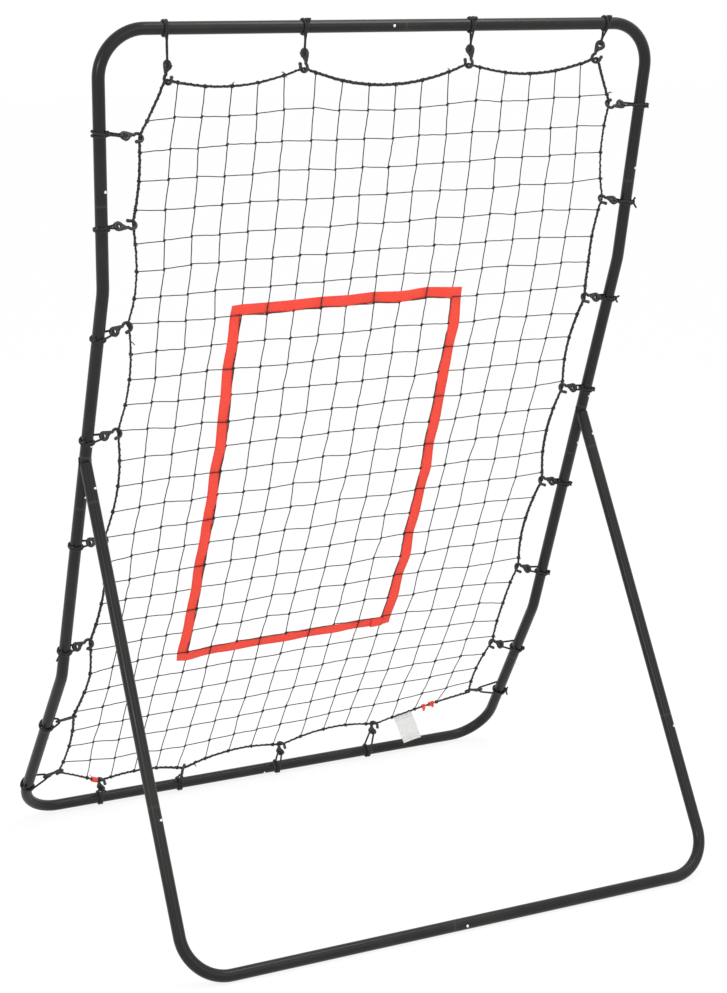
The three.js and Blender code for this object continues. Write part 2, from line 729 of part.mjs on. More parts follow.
// Each crossing is a small block, and each strand joins the facing sides of two blocks. A strand's
// outer end stops just short of the rope.
function netBody() {
  const positions = [];
  const quad = (a, b, c, d) => {
    for (const point of [a, b, c, a, c, d]) positions.push(point.x, point.y, point.z);
  };
  const signs = [[1, 1], [-1, 1], [-1, -1], [1, -1]];

  const frames = net.map((row, j) => row.map((point, i) => {
    if (j === 0 || i === 0 || j === meshRows || i === meshColumns) return null;
    const across = unit(net[j][i - 1], net[j][i + 1]);
    const down = squareTo(across, unit(net[j - 1][i], net[j + 1][i]));
    return { point, across, down, normal: across.clone().cross(down) };
  }));

  // Four corners round a strand where it leaves a block, in order about the way it goes.
  const section = ({ down, across, normal }, centre, isAcross, way) => {
    const first = isAcross ? down : normal;
    const second = isAcross ? normal : across;
    const order = way > 0 ? signs : signs.map(([a, b]) => [b, a]);
    return order.map(([a, b]) => along(along(centre, first, a * strandHalf), second, b * strandHalf));
  };
  const strand = (from, to) => {
    for (let k = 0; k < 4; k += 1) {
      const next = (k + 1) % 4;
      quad(from[k], from[next], to[next], to[k]);
    }
  };
  const faceOf = (frame, isAcross, way) => {
    const direction = isAcross ? frame.across : frame.down;
    return along(frame.point, direction, way * strandHalf);
  };

  const strandToRope = (frame, isAcross, way, i, j) => {
    const end = isAcross ? net[j][i + way] : net[j + way][i];
    const neighbour = isAcross ? net[j + 1][i + way] : net[j + way][i + 1];
    const pull = unit(frame.point, end);
    const slant = Math.abs(pull.dot(unit(end, neighbour)));
    const clear = (ropeRadius + ropeGap + strandHalf * slant) / Math.sqrt(1 - slant ** 2);
    const from = section(frame, faceOf(frame, isAcross, way), isAcross, way);
    const to = section(frame, along(end, pull, -clear), isAcross, way);
    strand(from, to);
    quad(...to);
  };

  for (const j of inside(meshRows)) {
    for (const i of inside(meshColumns)) {
      const frame = frames[j][i];
      const corner = (a, b, n) => along(along(along(frame.point, frame.across, a * strandHalf),
        frame.down, b * strandHalf), frame.normal, n * strandHalf);
      quad(...signs.map(([a, b]) => corner(a, b, 1)));
      quad(...signs.map(([a, b]) => corner(b, a, -1)));
      for (const isAcross of [true, false]) {
        const next = isAcross ? frames[j][i + 1] : frames[j + 1][i];
        if (next) {
          strand(section(frame, faceOf(frame, isAcross, 1), isAcross, 1),
            section(next, faceOf(next, isAcross, -1), isAcross, 1));
        } else {
          strandToRope(frame, isAcross, 1, i, j);
        }
        const previous = isAcross ? frames[j][i - 1] : frames[j - 1][i];
        if (!previous) strandToRope(frame, isAcross, -1, i, j);
      }
    }
  }
  const geometry = new THREE.BufferGeometry();
  geometry.setAttribute('position', new THREE.Float32BufferAttribute(positions, 3));
  return geometryOf(solid(geometry));
}

addPiece('net', netBody(), netBlack);

// ---- target ribbon ----

// A point of the net between its crossings, by column and row.
function netAt(column, row) {
  const i = Math.min(Math.floor(column), meshColumns - 1);
  const j = Math.min(Math.floor(row), meshRows - 1);
  const upper = net[j][i].clone().lerp(net[j][i + 1], column - i);
  const lower = net[j + 1][i].clone().lerp(net[j + 1][i + 1], column - i);
  return upper.lerp(lower, row - j);
}

// The ribbon is a closed rectangle, woven over and under the strands that it crosses.
function targetRibbon() {
  const [left, right] = targetColumns.map((mesh) => mesh * meshColumns / realColumns);
  const [top, foot] = targetRows.map((mesh) => mesh * meshRows / realRows);
  const [column, row] = [(left + right) / 2, (top + foot) / 2];
  const middle = netAt(column, row);
  const halfColumn = ribbonWidth / 2 / middle.distanceTo(netAt(column + 1, row));
  const halfRow = ribbonWidth / 2 / middle.distanceTo(netAt(column, row + 1));
  const wholeBetween = (a, b) => inside(Math.max(meshColumns, meshRows)).filter((n) => n > a && n < b);
  const rows = wholeBetween(top, foot);
  const columns = wholeBetween(left, right);
  const lift = strandHalf + ribbonGap + ribbonThickness / 2;
  const weave = (n) => (n % 2 ? lift : -lift);

  const ring = (atColumn, atRow, outColumn, outRow, offset) => {
    const outer = netAt(atColumn + outColumn * halfColumn, atRow + outRow * halfRow);
    const inner = netAt(atColumn - outColumn * halfColumn, atRow - outRow * halfRow);
    const normal = netAt(atColumn - 1 / 2, atRow).sub(netAt(atColumn + 1 / 2, atRow))
      .cross(netAt(atColumn, atRow - 1 / 2).sub(netAt(atColumn, atRow + 1 / 2))).normalize();
    const half = ribbonThickness / 2;
    return [along(inner, normal, offset + half), along(inner, normal, offset - half),
      along(outer, normal, offset - half), along(outer, normal, offset + half)];
  };
  const leftRun = rows.map((n) => ring(left, n, -1, 0, weave(n)));
  const footRun = columns.map((n) => ring(n, foot, 0, 1, weave(n)));
  const rightRun = rows.map((n) => ring(right, n, 1, 0, weave(n))).reverse();
  const topRun = columns.map((n) => ring(n, top, 0, -1, weave(n))).reverse();
  return hoop([
    ring(left, top, -1, -1, 0), ...leftRun, ring(left, foot, -1, 1, 0), ...footRun,
    ring(right, foot, 1, 1, 0), ...rightRun, ring(right, top, 1, -1, 0), ...topRun,
  ]);
}

addPiece('target_ribbon', targetRibbon(), targetRed);

// ---- tag ----

// The tag is sewn to the rope in the middle of a straight run, and hangs down from it.
function tag() {
  const [from, to] = tagColumns.map((i) => onNet(...edgePoint('foot', columnMesh(i))));
  const way = unit(from, to);
  const down = squareTo(way, vector(0, 0, -1));
  const top = from.clone().lerp(to, 0.5);
  const plate = new THREE.BoxGeometry(tagWidth, tagThickness, tagDrop);
  plate.translate(0, 0, -tagDrop / 2 - ropeRadius - tagGap);
  const up = down.negate();
  const frame = new THREE.Matrix4().makeBasis(way, up.clone().cross(way), up);
  return plate.applyMatrix4(frame.setPosition(top));
}

addPiece('blank_tag', tag(), tagWhite);

export default part;
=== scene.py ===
import math
import random

import bmesh
import bpy
from mathutils import Matrix, Vector


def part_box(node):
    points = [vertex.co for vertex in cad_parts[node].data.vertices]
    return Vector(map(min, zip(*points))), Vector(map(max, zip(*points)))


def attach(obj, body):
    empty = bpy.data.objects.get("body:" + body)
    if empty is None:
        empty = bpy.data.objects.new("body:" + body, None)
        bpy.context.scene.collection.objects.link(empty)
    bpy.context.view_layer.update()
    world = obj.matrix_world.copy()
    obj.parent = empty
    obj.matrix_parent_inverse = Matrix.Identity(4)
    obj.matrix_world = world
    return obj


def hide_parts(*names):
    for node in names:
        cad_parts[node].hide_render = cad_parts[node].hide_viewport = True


# Pitching target net: a bent tube frame on a U-shaped stand, with a knotted net on elastic ties.
# Metres. The stand is on the -Y side, the frame's foot bar on the +Y side, and the floor is z = 0.

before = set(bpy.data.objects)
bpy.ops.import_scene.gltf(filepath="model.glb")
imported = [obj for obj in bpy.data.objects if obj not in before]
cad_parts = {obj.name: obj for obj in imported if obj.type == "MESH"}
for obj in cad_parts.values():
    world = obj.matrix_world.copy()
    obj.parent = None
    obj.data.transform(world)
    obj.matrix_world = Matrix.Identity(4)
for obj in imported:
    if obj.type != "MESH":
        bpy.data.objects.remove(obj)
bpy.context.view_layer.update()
chance = random.Random(11)
print("frame loaded:", len(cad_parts), "nodes")

cameraSet = {
    "place": (-2.05334, -4.06103, 1.88889), "turn": math.radians(-27.07), "tilt": math.radians(90 - 13.42),
    "lens": 78.75, "sensor": 36,
}


def makeCamera():
    data = bpy.data.cameras.new("camera")
    data.lens = cameraSet["lens"]
    data.sensor_width = cameraSet["sensor"]
    camera = bpy.data.objects.new("camera", data)
    camera.location = cameraSet["place"]
    camera.rotation_euler = (cameraSet["tilt"], 0, cameraSet["turn"])
    bpy.context.scene.collection.objects.link(camera)
    bpy.context.scene.camera = camera


makeCamera()
print("camera placed")


# Small helpers for vectors, shader nodes and pieces.
plusX = Vector((1, 0, 0))
minusY = Vector((0, -1, 0))


def unit(start, end):
    return (end - start).normalized()


def squareTo(axis, facing):
    return (facing - axis * facing.dot(axis)).normalized()


def basis(x, y, z, place):
    matrix = Matrix((x, y, z)).transposed().to_4x4()
    return Matrix.Translation(place) @ matrix


# A small random shift, as far as the given amount each way.
def shaken(amount):
    return Vector([chance.uniform(-amount, amount) for _ in range(3)])


def ringPoints(centre, first, second, radius, count):
    angles = [2 * math.pi * k / count for k in range(count)]
    return [centre + (first * math.cos(angle) + second * math.sin(angle)) * radius for angle in angles]


def addNode(tree, kind, settings=None, **values):
    node = tree.nodes.new(kind)
    for key, value in (settings or {}).items():
        setattr(node, key, value)
    for key, value in values.items():
        node.inputs[key].default_value = value
    return node


# Links the socket where the value is one, and sets its value otherwise.
def feed(tree, value, socket):
    if isinstance(value, bpy.types.NodeSocket):
        tree.links.new(value, socket)
    elif value is not None:
        socket.default_value = value


def mathNode(tree, operation, first, second=None):
    node = addNode(tree, "ShaderNodeMath", {"operation": operation})
    feed(tree, first, node.inputs[0])
    feed(tree, second, node.inputs[1])
    return node.outputs[0]


def mixColours(tree, mask, first, second):
    node = addNode(tree, "ShaderNodeMix", {"data_type": "RGBA"})
    feed(tree, mask, node.inputs[0])
    for value, socket in ((first, node.inputs[6]), (second, node.inputs[7])):
        feed(tree, (*value, 1) if isinstance(value, tuple) else value, socket)
    return node.outputs[2]


def spread(tree, value, low, high):
    node = addNode(tree, "ShaderNodeMapRange", **{"To Min": low, "To Max": high})
    tree.links.new(value, node.inputs["Value"])
    return node.outputs[0]


def noise(tree, scale, detail, roughness=0.5):
    node = addNode(tree, "ShaderNodeTexNoise", Detail=detail, Roughness=roughness)
    feed(tree, scale, node.inputs["Scale"])
    tree.links.new(tree.nodes.new("ShaderNodeTexCoord").outputs["Object"], node.inputs["Vector"])
    return node.outputs[0]


def newGroup(name, inputs, outputs):
    group = bpy.data.node_groups.new(name, "ShaderNodeTree")
    for socketName, value in inputs.items():
        socket = group.interface.new_socket(name=socketName, in_out="INPUT", socket_type="NodeSocketFloat")
        socket.default_value = value
    for socketName in outputs:
        group.interface.new_socket(name=socketName, in_out="OUTPUT", socket_type="NodeSocketFloat")
    return group, group.nodes.new("NodeGroupInput").outputs, group.nodes.new("NodeGroupOutput").inputs


# Fine unevenness of a moulded or sprayed skin, and the dust that gathers in large soft patches.
def makeGrainGroup():
    group, given, result = newGroup("skinGrain", {"Grain": 900, "Patches": 9}, ["Height", "Dust"])
    soft = addNode(group, "ShaderNodeMapRange", {"interpolation_type": "SMOOTHSTEP"},
                   **{"From Min": 0.42, "From Max": 0.74})
    group.links.new(noise(group, given["Patches"], 4, 0.65), soft.inputs["Value"])
    group.links.new(noise(group, given["Grain"], 2), result["Height"])
    group.links.new(soft.outputs[0], result["Dust"])
    return group


# The mesh's own UV map, which is in metres, counted in steps of the two given sizes.
def uvSteps(group, first, second):
    uv = addNode(group, "ShaderNodeUVMap", {"uv_map": "UVMap"})
    split = addNode(group, "ShaderNodeSeparateXYZ")
    group.links.new(uv.outputs[0], split.inputs[0])
    return [mathNode(group, "DIVIDE", way, size) for way, size in zip(split.outputs, (first, second))]


def ridges(group, steps):
    return mathNode(group, "ABSOLUTE", mathNode(group, "SINE", mathNode(group, "MULTIPLY", steps, math.pi)))


# The lay of a cord: u is round it and v along it.
def makeLayGroup():
    sizes = {"Strands": 3, "Round": 0.012, "Pitch": 0.01}
    group, given, result = newGroup("cordLay", sizes, ["Height", "Gap"])
    turned, along = uvSteps(group, given["Round"], given["Pitch"])
    twisted = mathNode(group, "MULTIPLY", turned, given["Strands"])
    strands = ridges(group, mathNode(group, "ADD", twisted, along))
    fuzz = mathNode(group, "MULTIPLY", noise(group, 1400, 3), 0.5)
    group.links.new(mathNode(group, "ADD", strands, fuzz), result["Height"])
    # Gap is the mask for the painted shade between the strands.
    group.links.new(mathNode(group, "POWER", mathNode(group, "SUBTRACT", 1.0, strands), 2.0), result["Gap"])
    return group


# A plain weave: over and under by turns.
def makeWeaveGroup():
    group, given, result = newGroup("plainWeave", {"Warp": 0.0012, "Weft": 0.0016}, ["Height"])
    across, along = uvSteps(group, given["Warp"], given["Weft"])
    cells = mathNode(group, "ADD", mathNode(group, "FLOOR", across), mathNode(group, "FLOOR", along))
    over = mathNode(group, "PINGPONG", cells, 1.0)
    warp = mathNode(group, "MULTIPLY", ridges(group, across), over)
    weft = mathNode(group, "MULTIPLY", ridges(group, along), mathNode(group, "SUBTRACT", 1.0, over))
    group.links.new(mathNode(group, "ADD", warp, weft), result["Height"])
    return group


grainGroup = makeGrainGroup()
layGroup = makeLayGroup()
weaveGroup = makeWeaveGroup()


def newMaterial(name, colour, roughness, metallic=0.0):
    material = bpy.data.materials.new(name)
    material.use_nodes = True
    tree = material.node_tree
    shader = tree.nodes["Principled BSDF"]
    shader.inputs["Base Color"].default_value = (*colour, 1)
    shader.inputs["Roughness"].default_value = roughness
    shader.inputs["Metallic"].default_value = metallic
    return material, tree, shader


def placeGroup(tree, group, **values):
    node = tree.nodes.new("ShaderNodeGroup")
    node.node_tree = group
    for key, value in values.items():
        node.inputs[key].default_value = value
    return node.outputs


def addBump(tree, shader, height, depth, strength):
    bump = addNode(tree, "ShaderNodeBump", Strength=strength, Distance=depth)
    tree.links.new(height, bump.inputs["Height"])
    tree.links.new(bump.outputs[0], shader.inputs["Normal"])


# Hard skins. Dust takes the colour towards dusty, and the output that wornBy names takes the roughness
# towards worn. Where the paint is rubbed off an edge, the bare colour shows.
skins = {
    "powderCoat": {
        "colour": (0.010, 0.010, 0.0095), "dusty": (0.030, 0.030, 0.027), "dustShare": 0.4,
        "bare": (0.09, 0.088, 0.082), "roughness": 0.27, "worn": 0.42, "wornBy": "Dust", "specular": 0.27,
        "grain": 1100, "patches": 7, "depth": 0.00012, "strength": 0.35},
    "brightSteel": {
        "colour": (0.90, 0.90, 0.88), "dusty": (0.68, 0.68, 0.67), "dustShare": 1, "metal": 0.6,
        "roughness": 0.22, "worn": 0.36, "wornBy": "Height", "specular": 0.5,
        "grain": 2600, "patches": 420, "depth": 0.00002, "strength": 0.25},
    "mouldedBlack": {
        "colour": (0.013, 0.013, 0.014), "dusty": (0.045, 0.045, 0.043), "dustShare": 1,
        "roughness": 0.42, "worn": 0.62, "wornBy": "Dust", "specular": 0.5,
        "grain": 1500, "patches": 60, "depth": 0.00006, "strength": 0.3},
}


def skinMaterial(name):
    look = skins[name]
    material, tree, shader = newMaterial(name, look["colour"], look["roughness"], look.get("metal", 0))
    grain = placeGroup(tree, grainGroup, Grain=look["grain"], Patches=look["patches"])
    dust = mathNode(tree, "MULTIPLY", grain["Dust"], look["dustShare"])
    colour = mixColours(tree, dust, look["colour"], look["dusty"])
    if "bare" in look:
        wear = addNode(tree, "ShaderNodeAttribute", {"attribute_name": "wear"}).outputs["Fac"]
        chips = mathNode(tree, "MULTIPLY", wear, mathNode(tree, "POWER", grain["Height"], 1.5))
        colour = mixColours(tree, chips, colour, look["bare"])
    tree.links.new(colour, shader.inputs["Base Color"])
    roughness = spread(tree, grain[look["wornBy"]], look["roughness"], look["worn"])
    tree.links.new(roughness, shader.inputs["Roughness"])
    shader.inputs["Specular IOR Level"].default_value = look["specular"]
    addBump(tree, shader, grain["Height"], look["depth"], look["strength"])
    return material


# Black cords differ in their lay and in how light their fibres look.
cords = {
    "elasticCord": {"colour": (0.006, 0.006, 0.0065), "fibre": (0.014, 0.014, 0.015), "roughness": 0.8,
                    "strands": 6, "round": 0.0119, "pitch": 0.006, "depth": 0.0003},
    "netTwine": {"colour": (0.012, 0.012, 0.012), "fibre": (0.03, 0.03, 0.03), "roughness": 0.8,
                 "strands": 2, "round": 0.0057, "pitch": 0.0035, "depth": 0.0003},
    "borderRope": {"colour": (0.010, 0.010, 0.011), "fibre": (0.034, 0.034, 0.036), "roughness": 0.88,
                   "strands": 3, "round": 0.017, "pitch": 0.009, "depth": 0.0008},
}


def cordMaterial(name):
    look = cords[name]
    colour, roughness = look["colour"], look["roughness"]
    material, tree, shader = newMaterial(name, colour, roughness)
    lay = placeGroup(tree, layGroup, Strands=look["strands"], Round=look["round"], Pitch=look["pitch"])
    fuzz = noise(tree, 650, 3)
    worn = mixColours(tree, fuzz, colour, look["fibre"])
    shade = tuple(c * 0.35 for c in colour)
    # Painted shade: the colour goes darker in the gaps between the cord's strands, as shade in the lay's
    # hollows.
    tree.links.new(mixColours(tree, lay["Gap"], worn, shade), shader.inputs["Base Color"])
    tree.links.new(spread(tree, fuzz, roughness - 0.1, roughness + 0.1), shader.inputs["Roughness"])
    addBump(tree, shader, lay["Height"], look["depth"], 0.8)
    shader.inputs["Sheen Weight"].default_value = 0.12
    shader.inputs["Sheen Roughness"].default_value = 0.5
    return material


def webbingMaterial():
    colour, pale, deep = (0.96, 0.076, 0.048), (1.0, 0.11, 0.075), (0.80, 0.034, 0.020)
    material, tree, shader = newMaterial("redWebbing", colour, 0.72)
    weave = placeGroup(tree, weaveGroup, Warp=0.0011, Weft=0.0017)
    body = mixColours(tree, noise(tree, 26, 4, 0.6), colour, pale)
    # Painted shade: the colour goes towards deep where the weave's threads dip, as shade in its hollows; the
    # pale blotches are random tone.
    shade = mathNode(tree, "MULTIPLY", mathNode(tree, "SUBTRACT", 1.0, weave["Height"]), 0.55)
    tree.links.new(mixColours(tree, shade, body, deep), shader.inputs["Base Color"])
    addBump(tree, shader, weave["Height"], 0.00025, 0.8)
    shader.inputs["Specular IOR Level"].default_value = 0.2
    return material


def tagMaterial():
    colour, deep = (0.83, 0.83, 0.81), (0.60, 0.60, 0.59)
    material, tree, shader = newMaterial("whiteCloth", colour, 0.8)
    weave = placeGroup(tree, weaveGroup, Warp=0.0005, Weft=0.0006)
    shade = mathNode(tree, "MULTIPLY", mathNode(tree, "SUBTRACT", noise(tree, 90, 4, 0.6), 0.3), 0.6)
    tree.links.new(mixColours(tree, shade, colour, deep), shader.inputs["Base Color"])
    addBump(tree, shader, weave["Height"], 0.00012, 0.7)
    return material


# Sewing thread and cut fibres, a little uneven in colour.
def threadMaterial(name, colour, pale):
    material, tree, shader = newMaterial(name, colour, 0.8)
    mottle = noise(tree, 900, 2)
    tree.links.new(mixColours(tree, mottle, colour, pale), shader.inputs["Base Color"])
    addBump(tree, shader, mottle, 0.0002, 0.5)
    return material


powderCoat, brightSteel, mouldedBlack = [skinMaterial(name) for name in skins]
elasticBlack, twineBlack, ropeBlack = [cordMaterial(name) for name in cords]
cutFibre = threadMaterial("cutFibre", (0.20, 0.20, 0.195), (0.34, 0.34, 0.33))
redThread = threadMaterial("redThread", (0.72, 0.045, 0.035), (0.90, 0.12, 0.09))
greyThread = threadMaterial("greyThread", (0.42, 0.42, 0.41), (0.58, 0.58, 0.57))
redWebbing = webbingMaterial()
whiteCloth = tagMaterial()
print("materials made")


# Turns each closed shell's faces outwards, which its signed volume tells.
def faceOutward(bm):
    bmesh.ops.recalc_face_normals(bm, faces=bm.faces)
    waiting = set(bm.faces)
    while waiting:
        shell = [waiting.pop()]
        closed = True
        for face in shell:
            for edge in face.edges:
                closed = closed and not edge.is_boundary
                for other in edge.link_faces:
                    if other in waiting:
                        waiting.remove(other)
                        shell.append(other)
        volume = sum(face.calc_center_median().dot(face.normal) * face.calc_area() for face in shell)
        if closed and volume < 0:
            bmesh.ops.reverse_faces(bm, faces=shell)


def finishPiece(bm, name, materials, body="frame", angle=60):
    faceOutward(bm)
    mesh = bpy.data.meshes.new(name)
    bm.to_mesh(mesh)
    bm.free()
    mesh.shade_smooth()
    mesh.set_sharp_from_angle(angle=math.radians(angle))
    for material in materials:
        mesh.materials.append(material)
    piece = bpy.data.objects.new(name, mesh)
    bpy.context.scene.collection.objects.link(piece)
    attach(piece, body)
    return piece


# Puts a finished small bmesh into a larger one and frees it.
def join(bm, part, materialIndex=0):
    mesh = bpy.data.meshes.new("part")
    for face in part.faces:
        face.material_index = materialIndex
    part.to_mesh(mesh)
    part.free()
    bm.from_mesh(mesh)
    bpy.data.meshes.remove(mesh)


def roundEdges(bm, rims, offset):
    bmesh.ops.bevel(bm, geom=rims, offset=offset, affect="EDGES", segments=2, profile=0.5, material=-1)


# A part with no faces yet, and with an empty UV map.
def blankPart():
    bm = bmesh.new()
    bm.loops.layers.uv.new("UVMap")
    return bm


def ball(subdivisions, radius, place=(0, 0, 0)):
    bm = blankPart()
    bmesh.ops.create_icosphere(bm, subdivisions=subdivisions, radius=radius, matrix=Matrix.Translation(place))
    return bm


# A grid of faces. Both ways of it run from 0 to 1 for the functions that give its UVs and its places.
def gridPart(columns, rows, uvAt, placeAt):
    bm = bmesh.new()
    uv = bm.loops.layers.uv.new("UVMap")
    bmesh.ops.create_grid(bm, x_segments=columns, y_segments=rows, size=0.5, calc_uvs=True)
    for face in bm.faces:
        for loop in face.loops:
            loop[uv].uv = uvAt(*loop[uv].uv)
    for vert in bm.verts:
        vert.co = placeAt(vert.co.x + 0.5, vert.co.y + 0.5)
    return bm


# A grid bent round a path: one strip of faces for each side of the section. Its UV map is in
# metres, round the section and along the path.
def sweep(path, section, closed=False, facing=minusY, sizes=None):
    count = len(path)
    sides = len(section)
    rings = count if closed else count - 1
    across = None
    frames = []
    for i in range(count):
        before = path[i - 1] if closed or i else path[0]
        after = path[(i + 1) % count] if closed or i < count - 1 else path[-1]
        tangent = unit(before, after)
        across = squareTo(tangent, across or squareTo(tangent, facing))
        frames.append((across, tangent.cross(across)))
    lengths = [0.0]
    for i in range(1, rings + 1):
        lengths.append(lengths[-1] + (path[i % count] - path[i - 1]).length)
    around = [0.0]
    for a, b in zip(section, section[1:] + section[:1]):
        around.append(around[-1] + math.hypot(b[0] - a[0], b[1] - a[1]))

    def placeAt(x, y):
        j = round(y * rings) % count
        size = sizes[j] if sizes else 1.0
        out, side = section[round(x * sides) % sides]
        return path[j] + frames[j][0] * out * size + frames[j][1] * side * size

    bm = gridPart(sides, rings, lambda u, v: (around[round(u * sides)], lengths[round(v * rings)]), placeAt)
    bmesh.ops.remove_doubles(bm, verts=bm.verts, dist=1e-7)
    if not closed:
        bmesh.ops.holes_fill(bm, edges=[e for e in bm.edges if e.is_boundary], sides=0)
    return bm


def roundSection(radius, sides):
    return [(radius * math.cos(2 * math.pi * i / sides), radius * math.sin(2 * math.pi * i / sides))
            for i in range(sides)]


# A smooth line through given points, with so many steps between each two.
def smoothLine(points, steps, closed=False):
    count = len(points)
    line = []
    for i in range(count if closed else count - 1):
        a = points[i - 1] if closed or i else points[0]
        b, c = points[i], points[(i + 1) % count]
        d = points[(i + 2) % count] if closed or i < count - 2 else points[-1]
        for k in range(steps):
            t = k / steps
            line.append(0.5 * (2 * b + (c - a) * t + (2 * a - 5 * b + 4 * c - d) * t ** 2
                               + (3 * b - a - 3 * c + d) * t ** 3))
    if not closed:
        line.append(points[-1].copy())
    return line


# The frame's lines, from the same sizes as the solids.
frameShape = {
    "width": 1.235, "height": 1.810, "footSpread": 0.991, "sideWaist": 0.022, "standInset": 0.010,
    "cornerBend": 0.090, "sideBend": 0.110, "lowerLength": 0.484, "lowerLean": 33.9,
    "middleLength": 0.934, "middleLean": 20.2, "upperLean": 7.7, "jointHeight": 0.551,
}
tube = {
    "radius": 0.0125, "wall": 0.0013, "sides": 48, "cornerSteps": 22, "bendSteps": 8, "lip": 0.0004,
    "plugGap": 0.00035, "plugLength": 0.055, "endGap": 0.0003, "worn": 0.003, "sharp": math.radians(30),
}
seams = {
    "upperSeam": 0.172, "collarAbove": 0.012, "collarBelow": 0.111, "branchTop": 0.008,
    "branchLength": 0.093, "lowerSeam": 0.180, "standSeam": 0.720,
}


def lean(degrees):
    return Vector((0, -math.sin(math.radians(degrees)), math.cos(math.radians(degrees))))


halfWidth = frameShape["width"] / 2
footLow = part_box("foot_corner_tube_left")[0].z
footPoint = Vector((0, frameShape["footSpread"] / 2, footLow + tube["radius"]))
lowBend = footPoint + lean(frameShape["lowerLean"]) * frameShape["lowerLength"]
highBend = lowBend + lean(frameShape["middleLean"]) * frameShape["middleLength"]
topRise = frameShape["height"] - tube["radius"] - highBend.z
upperLength = topRise / math.cos(math.radians(frameShape["upperLean"]))
topPoint = highBend + lean(frameShape["upperLean"]) * upperLength
standFoot = Vector((0, -frameShape["footSpread"] / 2, tube["radius"]))
stretches = [frameShape["lowerLength"], frameShape["middleLength"], upperLength]


def atSide(point, side, inset):
    return Vector((side * (halfWidth - inset), point.y, point.z))


def sideLine(side):
    waist = frameShape["sideWaist"]
    insets = ((footPoint, 0), (lowBend, waist), (highBend, waist), (topPoint, 0))
    return [atSide(point, side, inset) for point, inset in insets]


# A point so far up one side's profile from the foot bar. The middle of the frame is side 0.
def upTheSide(side, distance):
    line = sideLine(side)
    stretch = 0
    while stretch < 2 and distance > stretches[stretch]:
        distance -= stretches[stretch]
        stretch += 1
    return line[stretch].lerp(line[stretch + 1], distance / stretches[stretch])


def onNet(x, up):
    point = upTheSide(0, up)
    point.x = x
    return point


# The tubes, each a circle that is extruded along its straight runs and spun round its bends.

def onlyVerts(geom):
    return [part for part in geom if isinstance(part, bmesh.types.BMVert)]


def loopEdges(bm, verts):
    chosen = set(verts)
    return [e for e in bm.edges if e.verts[0] in chosen and e.verts[1] in chosen]


class TubeMaker:
    def __init__(self, place, way, radius):
        self.bm = bmesh.new()
        self.wear = self.bm.verts.layers.float.new("wear")
        turn = way.to_track_quat("Z", "Y").to_matrix().to_4x4()
        made = bmesh.ops.create_circle(self.bm, cap_ends=True, radius=radius, segments=tube["sides"],
                                       matrix=Matrix.Translation(place) @ turn)
        self.verts = made["verts"]
        self.place = place
        self.radius = radius

    # Extrudes the last ring to a new centre and radius.
    def push(self, place, radius, wear=0.0):
        made = bmesh.ops.extrude_edge_only(self.bm, edges=loopEdges(self.bm, self.verts))
        self.verts = onlyVerts(made["geom"])
        bmesh.ops.translate(self.bm, verts=self.verts, vec=place - self.place)
        ratio = radius / self.radius
        bmesh.ops.scale(self.bm, verts=self.verts, vec=(ratio,) * 3, space=Matrix.Translation(-place))
        for vert in self.verts:
            vert[self.wear] = wear
        self.place = place
        self.radius = radius

    # Spins the last ring round a bend at `corner`, from one direction to the other.
    def turn(self, corner, inward, outward, bend, steps):
        angle = inward.angle(outward)
        toCentre = squareTo(inward, outward)
        start = corner - inward * bend * math.tan(angle / 2)
        self.push(start, self.radius)
        ring = self.verts + loopEdges(self.bm, self.verts)
        made = bmesh.ops.spin(self.bm, geom=ring, cent=start + toCentre * bend, angle=angle, steps=steps,
                              axis=inward.cross(outward).normalized())
        self.verts = onlyVerts(made["geom_last"])
        self.place = corner + outward * bend * math.tan(angle / 2)

    def close(self):
        bmesh.ops.holes_fill(self.bm, edges=[e for e in self.bm.edges if e.is_boundary], sides=0)
        return self.bm


# The rings of one end, from the inside to the outer skin: distance in from the end, radius, wear.
def endRings(isPlug):
    radius, lip, worn = tube["radius"], tube["lip"], tube["worn"]
    bore = radius - tube["wall"]
    outer = [(0, radius - lip, 1), (lip, radius, 1), (worn, radius, 0)]
    if isPlug:
        plug = bore - tube["plugGap"]
        length = tube["plugLength"]
        return [(-length, plug - lip, 0), (lip - length, plug, 0), (0, plug, 0)] + outer
    hole = snap["fromSeam"]
    reach = snap["radius"] * 3
    inner = [(tube["plugLength"], bore, 0), (lip, bore, 0), (0, bore + lip, 1)]
    return inner + outer + [(hole - reach, radius, 0), (hole + reach, radius, 0)]


def bentTube(points, bend=0.0, steps=0, plugAtStart=False, plugAtEnd=False):
    first = unit(points[0], points[1])
    last = unit(points[-2], points[-1])
    opening = endRings(plugAtStart)
    ending = endRings(plugAtEnd)[::-1]
    maker = TubeMaker(points[0] + first * opening[0][0], first, opening[0][1])
    for distance, radius, wear in opening[1:]:
        maker.push(points[0] + first * distance, radius, wear)
    for i in range(1, len(points) - 1):
        maker.turn(points[i], unit(points[i - 1], points[i]), unit(points[i], points[i + 1]), bend, steps)
    for distance, radius, wear in ending:
        maker.push(points[-1] - last * distance, radius, wear)
    return maker.close()


# Snap buttons: a domed pin with a flange that the tube's wall stops, on a bent leaf spring.
snap = {
    "radius": 0.0029, "holeGap": 0.0003, "proud": 0.0032, "dome": 0.0021, "fromSeam": 0.028, "flange": 0.0040,
    "flangeGap": 0.0003, "flangeThickness": 0.001, "leafLength": 0.022, "leafThickness": 0.0009,
    "leafWidth": 0.005, "leafDrop": 0.005, "leafSteps": 8, "leafGap": 0.0001, "slack": 0.0003, "sides": 32,
    "domeSteps": 7, "holeFrom": 0.002,
    "sideTurn": 22, "lowerTurn": 57, "footDrop": 38,
}
snapButtons = {}


def turnedWay(degrees):
    return Vector((math.sin(math.radians(degrees)), -math.cos(math.radians(degrees)), 0))


def noteButton(name, seam, axis, facing):
    centre = seam + axis * snap["fromSeam"]
    snapButtons[name] = {"centre": centre, "axis": axis, "facing": squareTo(axis, facing)}


